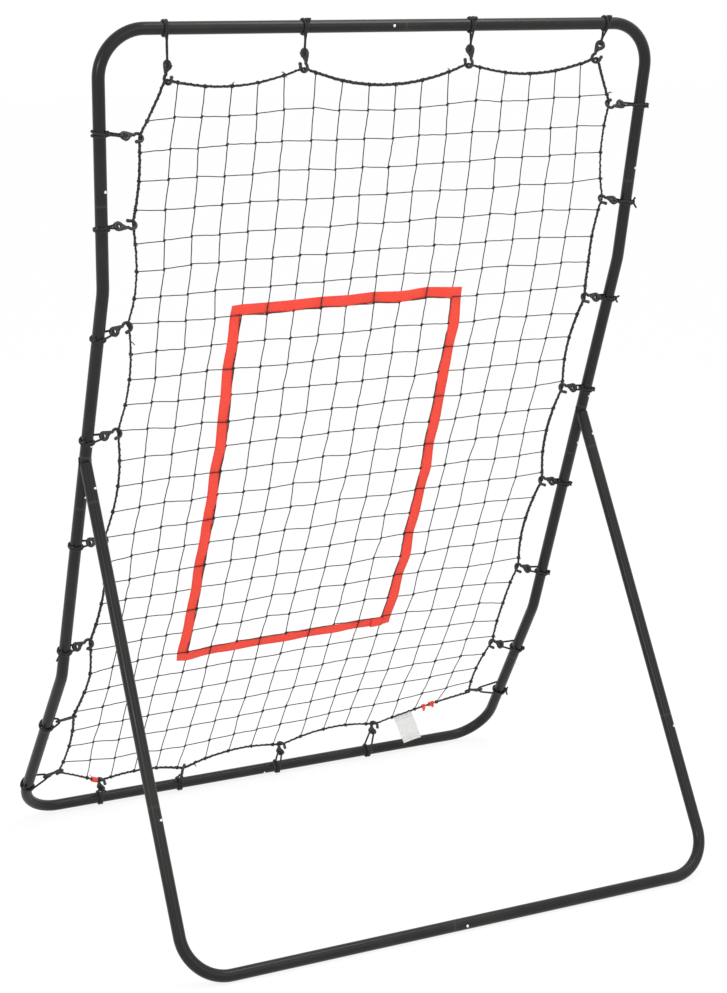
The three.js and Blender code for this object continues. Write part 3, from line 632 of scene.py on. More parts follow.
def sideSeams(side):
    foot, low, high, top = sideLine(side)
    middle = unit(low, high)
    joint = low + middle * frameShape["jointHeight"]
    standCorner = atSide(standFoot, side, frameShape["standInset"])
    leg = unit(joint, standCorner)
    return {
        "foot": foot, "low": low, "high": high, "top": top, "middle": middle, "joint": joint,
        "standCorner": standCorner, "leg": leg, "upperWay": unit(high, top), "lowerWay": unit(low, foot),
        "upper": high + unit(high, top) * seams["upperSeam"],
        "collarTop": joint + middle * seams["collarAbove"],
        "collarFoot": joint - middle * seams["collarBelow"],
        "branchEnd": joint + leg * seams["branchLength"],
        "lower": low + unit(low, foot) * seams["lowerSeam"],
        "standEnd": joint + leg * seams["standSeam"],
    }


sides = [(-1, "left"), (1, "right")]
topSeam = topPoint + plusX * snap["fromSeam"]
footSeam = footPoint + plusX * snap["fromSeam"]
standBarSeam = standFoot - plusX * snap["fromSeam"]
noteButton("top", topSeam, -plusX, minusY)
footDown = math.radians(snap["footDrop"])
noteButton("foot", footSeam, -plusX, Vector((0, -math.cos(footDown), -math.sin(footDown))))
noteButton("stand", standBarSeam, plusX, minusY)
for side, word in sides:
    at = sideSeams(side)
    facing = turnedWay(snap["sideTurn"])
    noteButton(f"upper_{word}", at["upper"], at["upperWay"], facing)
    noteButton(f"above_joint_{word}", at["collarTop"], at["middle"], facing)
    noteButton(f"below_joint_{word}", at["collarFoot"], at["middle"], facing)
    noteButton(f"leg_top_{word}", at["branchEnd"], -at["leg"], facing)
    noteButton(f"leg_foot_{word}", at["standEnd"], at["leg"], facing)
    noteButton(f"lower_{word}", at["lower"], at["lowerWay"], turnedWay(snap["lowerTurn"]))


def buttonMatrix(button):
    across = button["facing"].cross(button["axis"])
    return basis(button["axis"], across, button["facing"], button["centre"])


# Turns a row of [radius, height] corners into a round body about Z.
def lathe(outline, sides):
    bm = bmesh.new()
    verts = [bm.verts.new((r, 0, z)) for r, z in outline]
    edges = [bm.edges.new(pair) for pair in zip(verts, verts[1:])]
    bmesh.ops.spin(bm, geom=verts + edges, axis=(0, 0, 1), angle=2 * math.pi, steps=sides, use_merge=True)
    bmesh.ops.remove_doubles(bm, verts=bm.verts, dist=1e-6)
    return bm


def domeOutline(radius, foot, top, rise):
    steps = snap["domeSteps"]
    angles = [math.pi / 2 * k / steps for k in range(steps)]
    arc = [(radius * math.cos(angle), top - rise + rise * math.sin(angle)) for angle in angles]
    return [(radius, foot), *arc, (0, top)]


def snapButton(name, button):
    plugBore = tube["radius"] - 2 * tube["wall"] - tube["plugGap"]
    flangeTop = math.sqrt((plugBore - snap["flangeGap"]) ** 2 - snap["flange"] ** 2) - snap["slack"]
    flangeFoot = flangeTop - snap["flangeThickness"]
    top = tube["radius"] + snap["proud"]
    outline = [(0, flangeFoot), (snap["flange"], flangeFoot), (snap["flange"], flangeTop)]
    bm = lathe(outline + domeOutline(snap["radius"], flangeTop, top, snap["dome"]), snap["sides"])
    half, thick = snap["leafWidth"] / 2, snap["leafThickness"]
    leaf = bmesh.new()
    bmesh.ops.create_grid(leaf, x_segments=snap["leafSteps"], y_segments=1, size=0.5)
    for vert in leaf.verts:
        along = vert.co.x + 0.5
        place = -half + along * (snap["leafLength"] + half)
        drop = snap["leafGap"] + snap["leafDrop"] * max(0, along - 0.2) ** 1.3
        vert.co = Vector((place, vert.co.y * 2 * half, flangeFoot - drop))
    bmesh.ops.recalc_face_normals(leaf, faces=leaf.faces)
    bmesh.ops.solidify(leaf, geom=leaf.faces, thickness=thick)
    roundEdges(leaf, [e for e in leaf.edges if e.calc_length() < thick * 1.2], thick / 4)
    join(bm, leaf)
    bm.transform(buttonMatrix(button))
    piece = finishPiece(bm, f"button_{name}", [brightSteel], f"snap_button_{name}", 50)
    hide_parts(f"snap_button_{name}")


for name, button in snapButtons.items():
    snapButton(name, button)
print("snap buttons made")


# Cuts the snap buttons' holes into a tube.
def cutHoles(piece, names):
    hole = snap["radius"] + snap["holeGap"]
    depth = tube["radius"] + snap["proud"]
    for name in names:
        cutter = bmesh.new()
        bmesh.ops.create_cone(cutter, cap_ends=True, segments=snap["sides"], radius1=hole, radius2=hole,
                              depth=depth, matrix=Matrix.Translation((0, 0, depth / 2 + snap["holeFrom"])))
        cutter.transform(buttonMatrix(snapButtons[name]))
        combine(piece, cutter, "DIFFERENCE")


def combine(piece, part, operation):
    faceOutward(part)
    mesh = bpy.data.meshes.new("part")
    part.to_mesh(mesh)
    part.free()
    other = bpy.data.objects.new("part", mesh)
    bpy.context.scene.collection.objects.link(other)
    change = piece.modifiers.new("combine", "BOOLEAN")
    change.operation = operation
    change.solver = "EXACT"
    change.object = other
    graph = bpy.context.evaluated_depsgraph_get()
    joined = bpy.data.meshes.new_from_object(piece.evaluated_get(graph))
    piece.modifiers.clear()
    piece.data = joined
    bpy.data.objects.remove(other)


def finishTube(bm, name, buttons):
    piece = finishPiece(bm, f"{name}_skin", [powderCoat])
    cutHoles(piece, buttons)
    piece.data.set_sharp_from_angle(angle=tube["sharp"])
    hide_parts(name)


def cornerTube(side, barSeam, corner, sideEnd, hasPlug):
    barEnd = barSeam if hasPlug else barSeam + plusX * side * tube["endGap"]
    points = [barEnd, corner, sideEnd]
    return bentTube(points, frameShape["cornerBend"], tube["cornerSteps"], plugAtStart=hasPlug)


weld = {
    "radius": 0.0017, "sides": 8, "steps": 40, "reach": 104, "ripple": 0.16, "beads": 19, "proud": 0.0002,
}


# The collar with its plug and socket, the branch for the stand leg, and the weld between them.
def yJoint(at, name, buttons):
    piece = finishPiece(bentTube([at["collarTop"], at["collarFoot"]], plugAtStart=True), f"{name}_skin",
                        [powderCoat])
    radius, lip, leg = tube["radius"], tube["lip"], at["leg"]
    branchFrom = at["joint"] + leg * seams["branchTop"]
    maker = TubeMaker(branchFrom, leg, radius - lip)
    maker.push(branchFrom + leg * lip, radius)
    for distance, ringRadius, _ in endRings(False)[::-1]:
        maker.push(at["branchEnd"] - leg * distance, ringRadius)
    combine(piece, maker.close(), "UNION")
    cutHoles(piece, buttons)

    down = -at["middle"]
    bisector = (down + leg).normalized()
    across = down.cross(leg).normalized()
    reach = radius / math.sin(down.angle(leg) / 2)
    path = []
    sizes = []
    for k in range(weld["steps"] + 1):
        share = k / weld["steps"]
        angle = math.radians(weld["reach"]) * (2 * share - 1)
        path.append(at["joint"] + bisector * reach * math.cos(angle)
                    + across * (radius + weld["proud"]) * math.sin(angle))
        sizes.append(1 + weld["ripple"] * math.sin(2 * math.pi * weld["beads"] * share))
    bead = sweep(path, roundSection(weld["radius"], weld["sides"]), sizes=sizes)
    faceOutward(bead)
    bm = bmesh.new()
    bm.from_mesh(piece.data)
    join(bm, bead)
    bm.to_mesh(piece.data)
    bm.free()

    # The union mixes up the wear, so it is set again from each vertex's place at the three ends.
    wear = piece.data.attributes["wear"].data
    ends = [(at["collarTop"], at["middle"]), (at["collarFoot"], at["middle"]), (at["branchEnd"], leg)]
    for vert in piece.data.vertices:
        atRim = [abs((vert.co - end).dot(way)) < lip * 1.5 for end, way in ends
                 if (vert.co - end).length < radius * 1.2]
        wear[vert.index].value = 1.0 if any(atRim) else 0.0
    piece.data.set_sharp_from_angle(angle=tube["sharp"])
    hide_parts(name)


for side, word in sides:
    at = sideSeams(side)
    isRight = side > 0
    middleGap, legGap = at["middle"] * tube["endGap"], at["leg"] * tube["endGap"]
    sideBend, bendSteps = frameShape["sideBend"], tube["bendSteps"]
    finishTube(cornerTube(side, topSeam, at["top"], at["upper"] + at["upperWay"] * tube["endGap"], isRight),
               f"top_corner_tube_{word}", ["top", f"upper_{word}"])
    finishTube(bentTube([at["upper"], at["high"], at["collarTop"] + middleGap], sideBend, bendSteps,
                        plugAtStart=True),
               f"upper_side_tube_{word}", [f"upper_{word}", f"above_joint_{word}"])
    yJoint(at, f"side_y_joint_{word}", [f"above_joint_{word}", f"below_joint_{word}", f"leg_top_{word}"])
    finishTube(bentTube([at["collarFoot"] - middleGap, at["low"], at["lower"]], sideBend, bendSteps,
                        plugAtStart=True, plugAtEnd=True),
               f"lower_side_tube_{word}", [f"below_joint_{word}", f"lower_{word}"])
    finishTube(cornerTube(side, footSeam, at["foot"], at["lower"] + at["lowerWay"] * tube["endGap"], isRight),
               f"foot_corner_tube_{word}", ["foot", f"lower_{word}"])
    finishTube(bentTube([at["branchEnd"] + legGap, at["standEnd"]], plugAtStart=True, plugAtEnd=True),
               f"stand_leg_{word}", [f"leg_top_{word}", f"leg_foot_{word}"])
    finishTube(cornerTube(side, standBarSeam, at["standCorner"], at["standEnd"] + legGap, not isRight),
               f"stand_corner_tube_{word}", ["stand", f"leg_foot_{word}"])
print("frame tubes made")


# Ties, in the order of the columns: how far along its bar or up its side the cord loops round the tube, as a
# share; how far in from the tube's axis the rope is held, and how far along it from the loop; the net's mesh
# there; the side of the hook's tip, 1 for the right and upper side; how far apart the cord's two runs are at
# the tube; and where the knot is. The last entry is what differs from a usual tie: how near the tube the runs
# close up, a twist of the hook about its pull in degrees, the length of the knot's loose ends, and a second
# knot that fills the eye.
tieColumns = ("share", "inward", "slip", "mesh", "tip", "apart", "knot")
usualTie = {"pinch": 1, "twist": 0, "ends": 0.0035, "filled": False}
tieRows = {
    "top": [
        (0.112, 0.100, 0.006, 0.73, 1, 0.006, "eye", {"pinch": 0.42, "twist": 20, "filled": True}),
        (0.348, 0.082, 0, 5.65, -1, 0.009, "top", {"pinch": 0.6, "twist": 22, "filled": True}),
        (0.650, 0.080, -0.002, 11.65, -1, 0.0072, "top", {"pinch": 0.8, "twist": 22, "filled": True}),
        (0.911, 0.075, -0.019, 16.5, 1, 0.0057, "top", {"pinch": 0.75, "twist": 5}),
    ],
    "foot": [
        (0.161, 0.069, -0.011, 1.7, 1, -0.001, "eye", {"ends": 0.010}),
        (0.323, 0.062, -0.003, 5.2, -1, 0.002, "eye", {"twist": -80}),
        (0.532, 0.089, -0.012, 9.3, 1, -0.0014, "eye", {"filled": True}),
        (0.731, 0.108, -0.011, 13.3, 1, 0.0028, "inner", {"filled": True}),
    ],
    "left": [
        (0.899, 0.082, -0.012, 1.6, -1, 0.0015, "inner", {"pinch": 0.7, "filled": True}),
        (0.803, 0.065, 0.004, 4.4, 1, -0.004, "post", {"pinch": 0.35}),
        (0.685, 0.062, 0.020, 8, -1, 0.0002, "post", {}),
        (0.563, 0.066, 0.009, 12, -1, 0.0018, "post", {}),
        (0.430, 0.063, 0.004, 16, -1, -0.003, "post", {}),
        (0.289, 0.057, 0.008, 20.8, -1, 0.001, "post", {"ends": 0.013}),
        (0.166, 0.060, 0.012, 24.2, -1, 0.007, "post", {"twist": 80}),
        (0.055, 0.072, 0.027, 27.5, -1, 0.017, "post", {"twist": 60}),
    ],
    "right": [
        (0.911, 0.078, 0.002, 1.3, 1, -0.0038, "post", {}),
        (0.802, 0.063, 0.007, 4.7, -1, -0.003, "post", {"ends": 0.012}),
        (0.687, 0.063, 0.002, 8.4, -1, -0.0046, "post", {"ends": 0.008}),
        (0.567, 0.066, 0.005, 12.2, -1, -0.0047, "post", {}),
        (0.436, 0.062, 0.010, 16.3, -1, -0.0044, "post", {}),
        (0.306, 0.072, 0.019, 20.4, -1, 0.001, "post", {}),
        (0.174, 0.082, 0.027, 24.35, -1, 0.006, "post", {}),
        (0.089, 0.094, 0.009, 27.6, -1, 0.012, "post", {"twist": -70, "ends": 0.009}),
    ],
}
hook = {
    "rod": 0.0033, "sides": 10, "eye": 0.0070, "eyeRod": (0.0030, 0.0038), "eyeSteps": 26, "eyeSides": 12,
    "webThickness": 0.0042, "webArc": (-85, 70), "webSteps": 12, "webRounding": 0.0007,
    "webTip": [(0.0165, -0.0022), (0.0158, -0.0082)], "shank": [(0.0080, -0.0036), (0.0125, -0.0046)],
    "back": 0.0272, "bend": 0.0090, "bendSteps": 20, "bendFrom": -150, "bendTo": 96,
    "tipPoints": [(0.0246, 0.0091), (0.0226, 0.0101)], "tipBulb": 0.0039, "hold": 0.0308, "turn": 45,
}
elastic = {
    "radius": 0.0023, "sides": 8, "clear": 0.0002, "steps": 22, "close": 0.0021, "wobble": 0.0003,
    "beltSteps": 24, "knot": 0.0034, "knotSides": 7, "eyeKnot": (0.004, 0.003), "fillShift": 0.001,
    "fillEnds": 0.0005, "coil": 0.0028, "coils": ((0.5, -0.0012), (-0.6, 0.0014)), "coilSteps": 12,
    "endRadius": 0.0021, "frayLength": 0.0012, "frayStrands": 5, "fibre": 0.00045, "floor": 0.0002,
}
knotTurns = {"top": 150, "post": 140, "inner": 40}


def placeTies():
    level = sum(stretches)
    placed = {}
    for edge, rows in tieRows.items():
        placed[edge] = []
        side = {"left": -1, "right": 1}.get(edge)
        line, up, inwards = (topPoint, level, -1) if edge == "top" else (footPoint, 0, 1)
        for *values, extras in rows:
            each = {**usualTie, **dict(zip(tieColumns, values)), **extras, "edge": edge}
            if side:
                at = each["share"] * level
                post = upTheSide(side, at)
                flatRope = (post.x - side * each["inward"], at + each["slip"])
                each.update(post=post, axis=unit(post, upTheSide(side, at + 0.001)), turn=side * hook["turn"],
                            flatPost=(post.x, at), flatRope=flatRope)
            else:
                at = (each["share"] - 0.5) * frameShape["width"]
                flatRope = (at + each["slip"], up + inwards * each["inward"])
                each.update(post=Vector((at, line.y, line.z)), axis=plusX, turn=-inwards * hook["turn"],
                            flatPost=(at, up), flatRope=flatRope)
            placed[edge].append(each)
    return placed


ties = placeTies()


def flatPoint(radius, degrees):
    return Vector((radius * math.cos(math.radians(degrees)), radius * math.sin(math.radians(degrees)), 0))


def flatPoints(pairs):
    return [Vector((*pair, 0)) for pair in pairs]


# The open hook in its own XY plane: eye at the origin, bend centred on +X, tip on the +Y side.
def openHook():
    bm = bmesh.new()
    facing = Vector((0, 0, 1))
    ring = [flatPoint(hook["eye"], 360 * k / hook["eyeSteps"]) for k in range(hook["eyeSteps"])]
    thick, wide = hook["eyeRod"]
    oval = [(thick * a, wide * b) for a, b in roundSection(1, hook["eyeSides"])]
    join(bm, sweep(ring, oval, closed=True, facing=facing))

    centre = Vector((hook["back"], 0, 0))
    bend = [hook["bendFrom"] + (hook["bendTo"] - hook["bendFrom"]) * k / hook["bendSteps"]
            for k in range(hook["bendSteps"] + 1)]
    path = flatPoints(hook["shank"]) + [centre + flatPoint(hook["bend"], degrees) for degrees in bend]
    path += flatPoints(hook["tipPoints"])
    join(bm, sweep(path, roundSection(hook["rod"], hook["sides"]), facing=facing))
    join(bm, ball(2, hook["tipBulb"], path[-1]))

    web = blankPart()
    low, high = hook["webArc"]
    steps, thickness = hook["webSteps"], hook["webThickness"]
    corners = [flatPoint(hook["eye"] + wide * 0.7, high + (low - high) * k / steps) for k in range(steps + 1)]
    corners += flatPoints(hook["webTip"][::-1])
    face = web.faces.new([web.verts.new(corner - facing * thickness / 2) for corner in corners])
    grown = onlyVerts(bmesh.ops.extrude_face_region(web, geom=[face])["geom"])
    bmesh.ops.translate(web, verts=grown, vec=facing * thickness)
    bmesh.ops.recalc_face_normals(web, faces=web.faces)
    rims = [e for e in web.edges if e.calc_face_angle(0) > 1]
    roundEdges(web, rims, hook["webRounding"])
    join(bm, web)
    return bm


# The cord's loop, seen along the tube: round the tube at the origin and round the eye's rim. One run is in
# front of the tube and the other behind it. They part along the tube, and close up where pinch says.
def elasticPath(distance, slope, apart, pinch, lay):
    thick, close, count = elastic["radius"], elastic["close"], elastic["steps"]
    radius = tube["radius"] + elastic["clear"] + thick
    small = hook["eyeRod"][1] + thick * 0.9
    tangent = math.acos((radius - small) / distance)
    closing = (pinch, (1 + pinch) / 2) if pinch < 1 else ()
    spots = []
    for k in range(count + 1):
        angle = tangent + 2 * (math.pi - tangent) * k / count
        spots.append((radius * math.cos(angle), lay * apart * (0.5 - k / count), radius * math.sin(angle)))
    for share in closing:
        spots.append((distance * share, -lay * close * 0.6, -thick * 1.1))
    for k in range(7):
        angle = -tangent + 2 * tangent * k / 6
        spots.append((distance + small * math.cos(angle), lay * close * (k / 3 - 1), small * math.sin(angle)))
    for share in closing[::-1]:
        spots.append((distance * share, lay * close * 0.6, thick * 1.1))
    shake = elastic["wobble"]
    return [Vector((x + chance.uniform(-shake, shake), shift + slope * x, y)) for x, shift, y in spots]


# A short end of cord that droops a little and shows paler fibres where it is cut.
def looseEnd(bm, place, way, length):
    sag = Vector((0, 0, -length * 0.12))
    path = smoothLine([place + way * length * t + sag * t * t for t in (0, 0.35, 0.7, 1)], 3)
    radius = elastic["endRadius"]
    join(bm, sweep(path, roundSection(radius, elastic["knotSides"])))
    fray(bm, path[-1], unit(path[-2], path[-1]), elastic["frayLength"], radius * 0.7, elastic["frayStrands"])


# A tuft of thin strands that spread from a cut end.
def fray(bm, place, way, length, spreadRadius, count):
    section = roundSection(elastic["fibre"], 4)
    for _ in range(count):
        aside = squareTo(way, shaken(1))
        start = place + aside * spreadRadius * chance.uniform(0, 0.8)
        end = start + way * length * chance.uniform(0.6, 1.2) + aside * length * chance.uniform(0.1, 0.5)
        middle = (start + end) / 2 + aside * length * chance.uniform(-0.1, 0.15)
        join(bm, sweep([start, middle, end], section, sizes=[1, 0.8, 0.4]), 1)


# One closed turn of cord about a normal.
def coil(centre, normal, towards, radius, count, section):
    first = squareTo(normal, towards)
    ring = ringPoints(centre, first, normal.cross(first), radius, count)
    return sweep(ring, section, closed=True, facing=normal)


# A knot: two turns drawn tight over a lump, and its two loose ends.
def cordKnot(bm, place, along, outward, ends):
    lump = ball(2, elastic["knot"])
    for vert in lump.verts:
        vert.co = vert.co * chance.uniform(0.86, 1.08)
    bmesh.ops.smooth_vert(lump, verts=lump.verts, factor=0.5, use_axis_x=True, use_axis_y=True,
                          use_axis_z=True)
    bmesh.ops.translate(lump, verts=lump.verts, vec=place)
    join(bm, lump)
    across = along.cross(outward).normalized()
    section = roundSection(elastic["radius"], elastic["knotSides"])
    for tilt, step in elastic["coils"]:
        normal = (along + across * tilt).normalized()
        join(bm, coil(place + along * step, normal, outward, elastic["coil"], elastic["coilSteps"], section))
    for way in (-1, 1):
        direction = along * way * 0.8 + outward * chance.uniform(0.2, 0.9)
        direction = (direction + across * chance.uniform(-0.5, 0.5)).normalized()
        looseEnd(bm, place, direction, ends * chance.uniform(0.8, 1.2) + elastic["coil"])


def makeTie(number, each):
    edge, post, axis = each["edge"], each["post"], each["axis"]
    held = onNet(*each["flatRope"])
    reach = held - post
    slip = reach.dot(axis)
    square = reach - axis * slip
    across = square.normalized()
    normal = across.cross(axis)
    pull = reach.normalized()
    eyePoint = held - pull * hook["hold"]
    turn = math.radians(each["turn"] + each["twist"])
    flatWay = (normal.cross(pull) * math.cos(turn) + normal * math.sin(turn)) * each["tip"]
    bm = openHook()
    bm.transform(basis(pull, flatWay, pull.cross(flatWay), eyePoint))
    name = f"{edge}_{number}"
    piece = finishPiece(bm, f"hook_{name}", [mouldedBlack], angle=50)
    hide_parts(f"net_tie_{name}")

    # The cord: its loop, and a second turn that lies round the tube beside it.
    slope = slip / square.length
    distance = (reach.length - hook["hold"] - hook["eye"]) / math.sqrt(1 + slope ** 2)
    front = 1 if normal.y < 0 else -1
    lay = 1 if edge == "right" else -1
    thick = elastic["radius"]
    section = roundSection(thick, elastic["sides"])
    plusY = Vector((0, 1, 0))
    beltAt = front * lay * each["apart"] * 0.25 + slope * 0.002 - thick * 2.05
    beltRadius = tube["radius"] + elastic["clear"] + thick
    belt = ringPoints(plusY * beltAt, plusX, Vector((0, 0, 1)), beltRadius, elastic["beltSteps"])
    cord = bmesh.new()
    for path in (elasticPath(distance, slope, each["apart"], each["pinch"], lay), belt):
        join(cord, sweep(path, section, closed=True, facing=plusY))
    cord.transform(basis(across, axis, normal, post))

    outward = normal * front
    if each["filled"]:
        cordKnot(cord, eyePoint - pull * elastic["fillShift"], pull, outward, elastic["fillEnds"])
    if each["knot"] == "eye":
        inward, forward = elastic["eyeKnot"]
        place = eyePoint - pull * hook["eye"] + pull * inward + outward * forward
    else:
        toView = math.radians(knotTurns[each["knot"]])
        outward = across * math.cos(toView) + outward * math.sin(toView)
        place = post + outward * (tube["radius"] + thick * 1.4)
    cordKnot(cord, place, axis, outward, each["ends"])
    for vert in cord.verts:
        vert.co.z = max(vert.co.z, elastic["floor"])  # pressed flat on the floor
    finishPiece(cord, f"elastic_{name}", [elasticBlack, cutFibre])


for row in ties.values():
    for number, each in enumerate(row, 1):
        makeTie(number, each)
print("ties made")


# The border rope lies straight across each hook and sags towards the net between them. Thin twine lashes it,
# and each strand of the net is knotted to it.
rope = {
    "radius": 0.0023, "sides": 10, "saddle": 0.006, "steps": 8, "wander": 0.0003, "thick": 0.08,
    "sag": {"top": 0.28, "foot": 0.45, "left": 0.22, "right": 0.30, "corner": 0.08},
    "drift": (0.85, 1.35), "driftSteps": 24, "lashRadius": 0.0007, "lashPitch": 0.014, "lashSides": 5,
    "lashSteps": 9, "knot": 0.0034, "knotTwine": 0.0010, "knotSteps": 10, "knotTurns": (-0.0016, 0.0013),
    "fluffEvery": 4, "fluff": (0.005, 0.003, 7), "strand": 0.0012, "strandFray": (0.001, 4),
}
netShape = {
    "columns": 17, "rows": 28, "twine": 0.0011, "sides": 6, "sweeps": 300, "steps": 4, "jitter": 0.0022,
    "wave": 0.0005, "knotLong": 0.0046, "knotWide": 0.0028, "knotStep": 0.0009, "weight": 0.00006,
}
# Loose strands on the rope: the edge and mesh where each starts, its way and its length.
frays = [
    ("top", 5.05, (-0.8, -0.2, 0.6), 0.010),
    ("top", 11.05, (-0.6, -0.3, 0.5), 0.009),
    ("top", 3, (0.3, -0.3, 0.8), 0.008),
    ("right", 1, (0.9, -0.3, 0.5), 0.010),
    ("foot", 5.5, (0.6, -0.5, 0.8), 0.010),
    ("foot", 5.5, (0.7, -0.5, -0.7), 0.009),
    ("left", 8.5, (0.7, -0.3, -0.6), 0.009),
]


def spanOf(a, b):
    return math.hypot(b[0] - a[0], b[1] - a[1])


def saddleEnd(each, way):
    post, held = each["flatPost"], each["flatRope"]
    reach = way * rope["saddle"] / spanOf(post, held)
    return (held[0] + reach * (held[1] - post[1]), held[1] - reach * (held[0] - post[0]))


def ropeBetween(before, after, t):
    start, end = saddleEnd(before, 1), saddleEnd(after, -1)
    span = spanOf(start, end)
    rise = ((end[0] - start[0]) / span, (end[1] - start[1]) / span)
    slack = rope["sag"][before["edge"] if before["edge"] == after["edge"] else "corner"]
    sag = slack * span ** 2 * 4 * t * (1 - t)
    return (start[0] + span * t * rise[0] - sag * rise[1], start[1] + span * t * rise[1] + sag * rise[0])


# The ties along each edge of the net, with those of the next edges at its ends.
edges = {
    "foot": [dict(ties["left"][-1], mesh=-0.5), *ties["foot"], dict(ties["right"][-1], mesh=17.4)],
    "right": [*ties["right"][::-1], dict(ties["top"][-1], mesh=-0.5)],
    "top": ties["top"][::-1],
    "left": [dict(ties["top"][0], mesh=-0.73), *ties["left"]],
}
meshCounts = {edge: netShape["columns" if edge in ("foot", "top") else "rows"] for edge in edges}


def ropeSpot(edge, mesh):
    row = edges[edge]
    low, high = sorted((row[0]["mesh"], row[-1]["mesh"]))
    mesh = min(max(mesh, low), high)
    for before, after in zip(row, row[1:]):
        if (after["mesh"] - mesh) * (before["mesh"] - mesh) <= 0:
            t = (mesh - before["mesh"]) / (after["mesh"] - before["mesh"])
            return onNet(*ropeBetween(before, after, min(max(t, 0), 1)))


def ropeWay(edge, mesh):
    return unit(ropeSpot(edge, mesh - 0.05), ropeSpot(edge, mesh + 0.05))


# The points where strands cross, from the top left, at rest under the net's own pull.
def netPoints():
    columns, rows = netShape["columns"], netShape["rows"]
    points = []
    for j in range(rows + 1):
        start, end = ropeSpot("left", j), ropeSpot("right", j)
        points.append([start.lerp(end, i / columns) for i in range(columns + 1)])
    for i in range(1, columns):
        points[0][i] = ropeSpot("top", i)
    points[rows] = [ropeSpot("foot", i) for i in range(columns + 1)]
    inner = [(j, i) for j in range(1, rows) for i in range(1, columns)]
    for _ in range(netShape["sweeps"]):
        for j, i in inner:
            points[j][i] = (points[j - 1][i] + points[j + 1][i] + points[j][i - 1] + points[j][i + 1]) / 4
            points[j][i].z -= netShape["weight"]
    for j, i in inner:
        points[j][i] = points[j][i] + shaken(netShape["jitter"])
    return points


net = netPoints()


# A strand's line: it enters each knot low on the left and leaves it high on the right.
def strandLine(line):
    path = [line[0]]
    for i in range(1, len(line) - 1):
        way = unit(line[i - 1], line[i + 1])
        rise = squareTo(way, Vector((1, 0, 1))) * netShape["knotStep"]
        path += [line[i] - way * netShape["knotWide"] - rise, line[i] + way * netShape["knotWide"] + rise]
    path.append(line[-1])
    full = [path[0]]
    for start, end in zip(path, path[1:]):
        count = netShape["steps"] if (end - start).length > 0.01 else 1
        for k in range(1, count):
            full.append(start.lerp(end, k / count) + shaken(netShape["wave"]))
        full.append(end)
    return full


# A knot is a small hard lump, longer from the lower left to the upper right.
def netKnot(place, across, down):
    bm = ball(1, 1)
    size = chance.uniform(0.88, 1.15)
    down = squareTo(across, down)
    long = (across - down).normalized()
    wide = (across + down).normalized()
    out = across.cross(down)
    for vert in bm.verts:
        x, y, z = vert.co * size * chance.uniform(0.86, 1.12)
        vert.co = place + long * x * netShape["knotLong"] + (wide * y + out * z) * netShape["knotWide"]
    return bm


def makeNet():
    columns, rows = netShape["columns"], netShape["rows"]
    bm = blankPart()
    section = roundSection(netShape["twine"], netShape["sides"])
    for line in net[1:rows] + [list(line) for line in zip(*net)][1:columns]:
        join(bm, sweep(strandLine(line), section))
    for j in range(1, rows):
        for i in range(1, columns):
            across, down = unit(net[j][i - 1], net[j][i + 1]), unit(net[j - 1][i], net[j + 1][i])
            join(bm, netKnot(net[j][i], across, down))
    piece = finishPiece(bm, "knotted_net", [twineBlack])
    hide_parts("net")


makeNet()
print("net made")


# The rope's line, with a point at each net strand and at both ends of each saddle.
def ropeLine():
    line = []
    for edge, row in edges.items():
        for before, after in zip(row, row[1:]):
            low, high = sorted((before["mesh"], after["mesh"]))
            between = [mesh for mesh in range(meshCounts[edge] + 1) if low < mesh < high]
            if before["mesh"] > after["mesh"]:
                between.reverse()
            line.append(onNet(*saddleEnd(before, 1)))
            line += [ropeSpot(edge, mesh) for mesh in between]
            line.append(onNet(*saddleEnd(after, -1)))
    return line


# Thin twine wound round the rope, with its turns a little uneven.
def lashing(path, sizes):
    turns = []
    travelled = 0.0
    lift = rope["radius"] + rope["lashRadius"] * 0.4
    across = squareTo(unit(path[-1], path[1]), minusY)
    for i, place in enumerate(path):
        after = path[(i + 1) % len(path)]
        tangent = unit(path[i - 1], after)
        step = after - place
        count = max(2, round(step.length / rope["lashPitch"] * rope["lashSteps"]))
        across = squareTo(tangent, across)
        other = tangent.cross(across)
        for k in range(count):
            angle = 2 * math.pi * (travelled + step.length * k / count) / rope["lashPitch"]
            out = across * math.cos(angle) + other * math.sin(angle)
            turns.append(place + step * k / count + out * lift * sizes[i])
        travelled += step.length
    return sweep(turns, roundSection(rope["lashRadius"], rope["lashSides"]), closed=True)


# Two turns of the strand's twine round the rope, and a small lump where they are tied.
def ropeKnot(bm, place, tangent, inward):
    inward = squareTo(tangent, inward)
    section = roundSection(rope["knotTwine"] * 1.3, 5)
    for step in rope["knotTurns"]:
        normal = (tangent + inward * chance.uniform(-0.5, 0.5)).normalized()
        join(bm, coil(place + tangent * step, normal, inward, rope["radius"] + rope["knotTwine"],
                      rope["knotSteps"], section))
    lump = ball(1, rope["knot"] * chance.uniform(0.8, 1.1))
    for vert in lump.verts:
        vert.co = vert.co * chance.uniform(0.8, 1.15) + place + inward * rope["radius"] * 0.7
    join(bm, lump)


# The rope's thickness drifts slowly along it, with a small unevenness at each point.
def ropeSizes(count):
    steps = rope["driftSteps"]
    slow = [chance.uniform(*rope["drift"]) for _ in range(count // steps + 2)]
    sizes = []
    for i in range(count):
        isLast = i >= count - steps
        start = slow[-1] if isLast else slow[i // steps]
        end = slow[0] if isLast else slow[(i // steps + 1) % len(slow)]
        size = start + (end - start) * (i % steps) / steps
        sizes.append(size + chance.uniform(-rope["thick"], rope["thick"]))
    return sizes


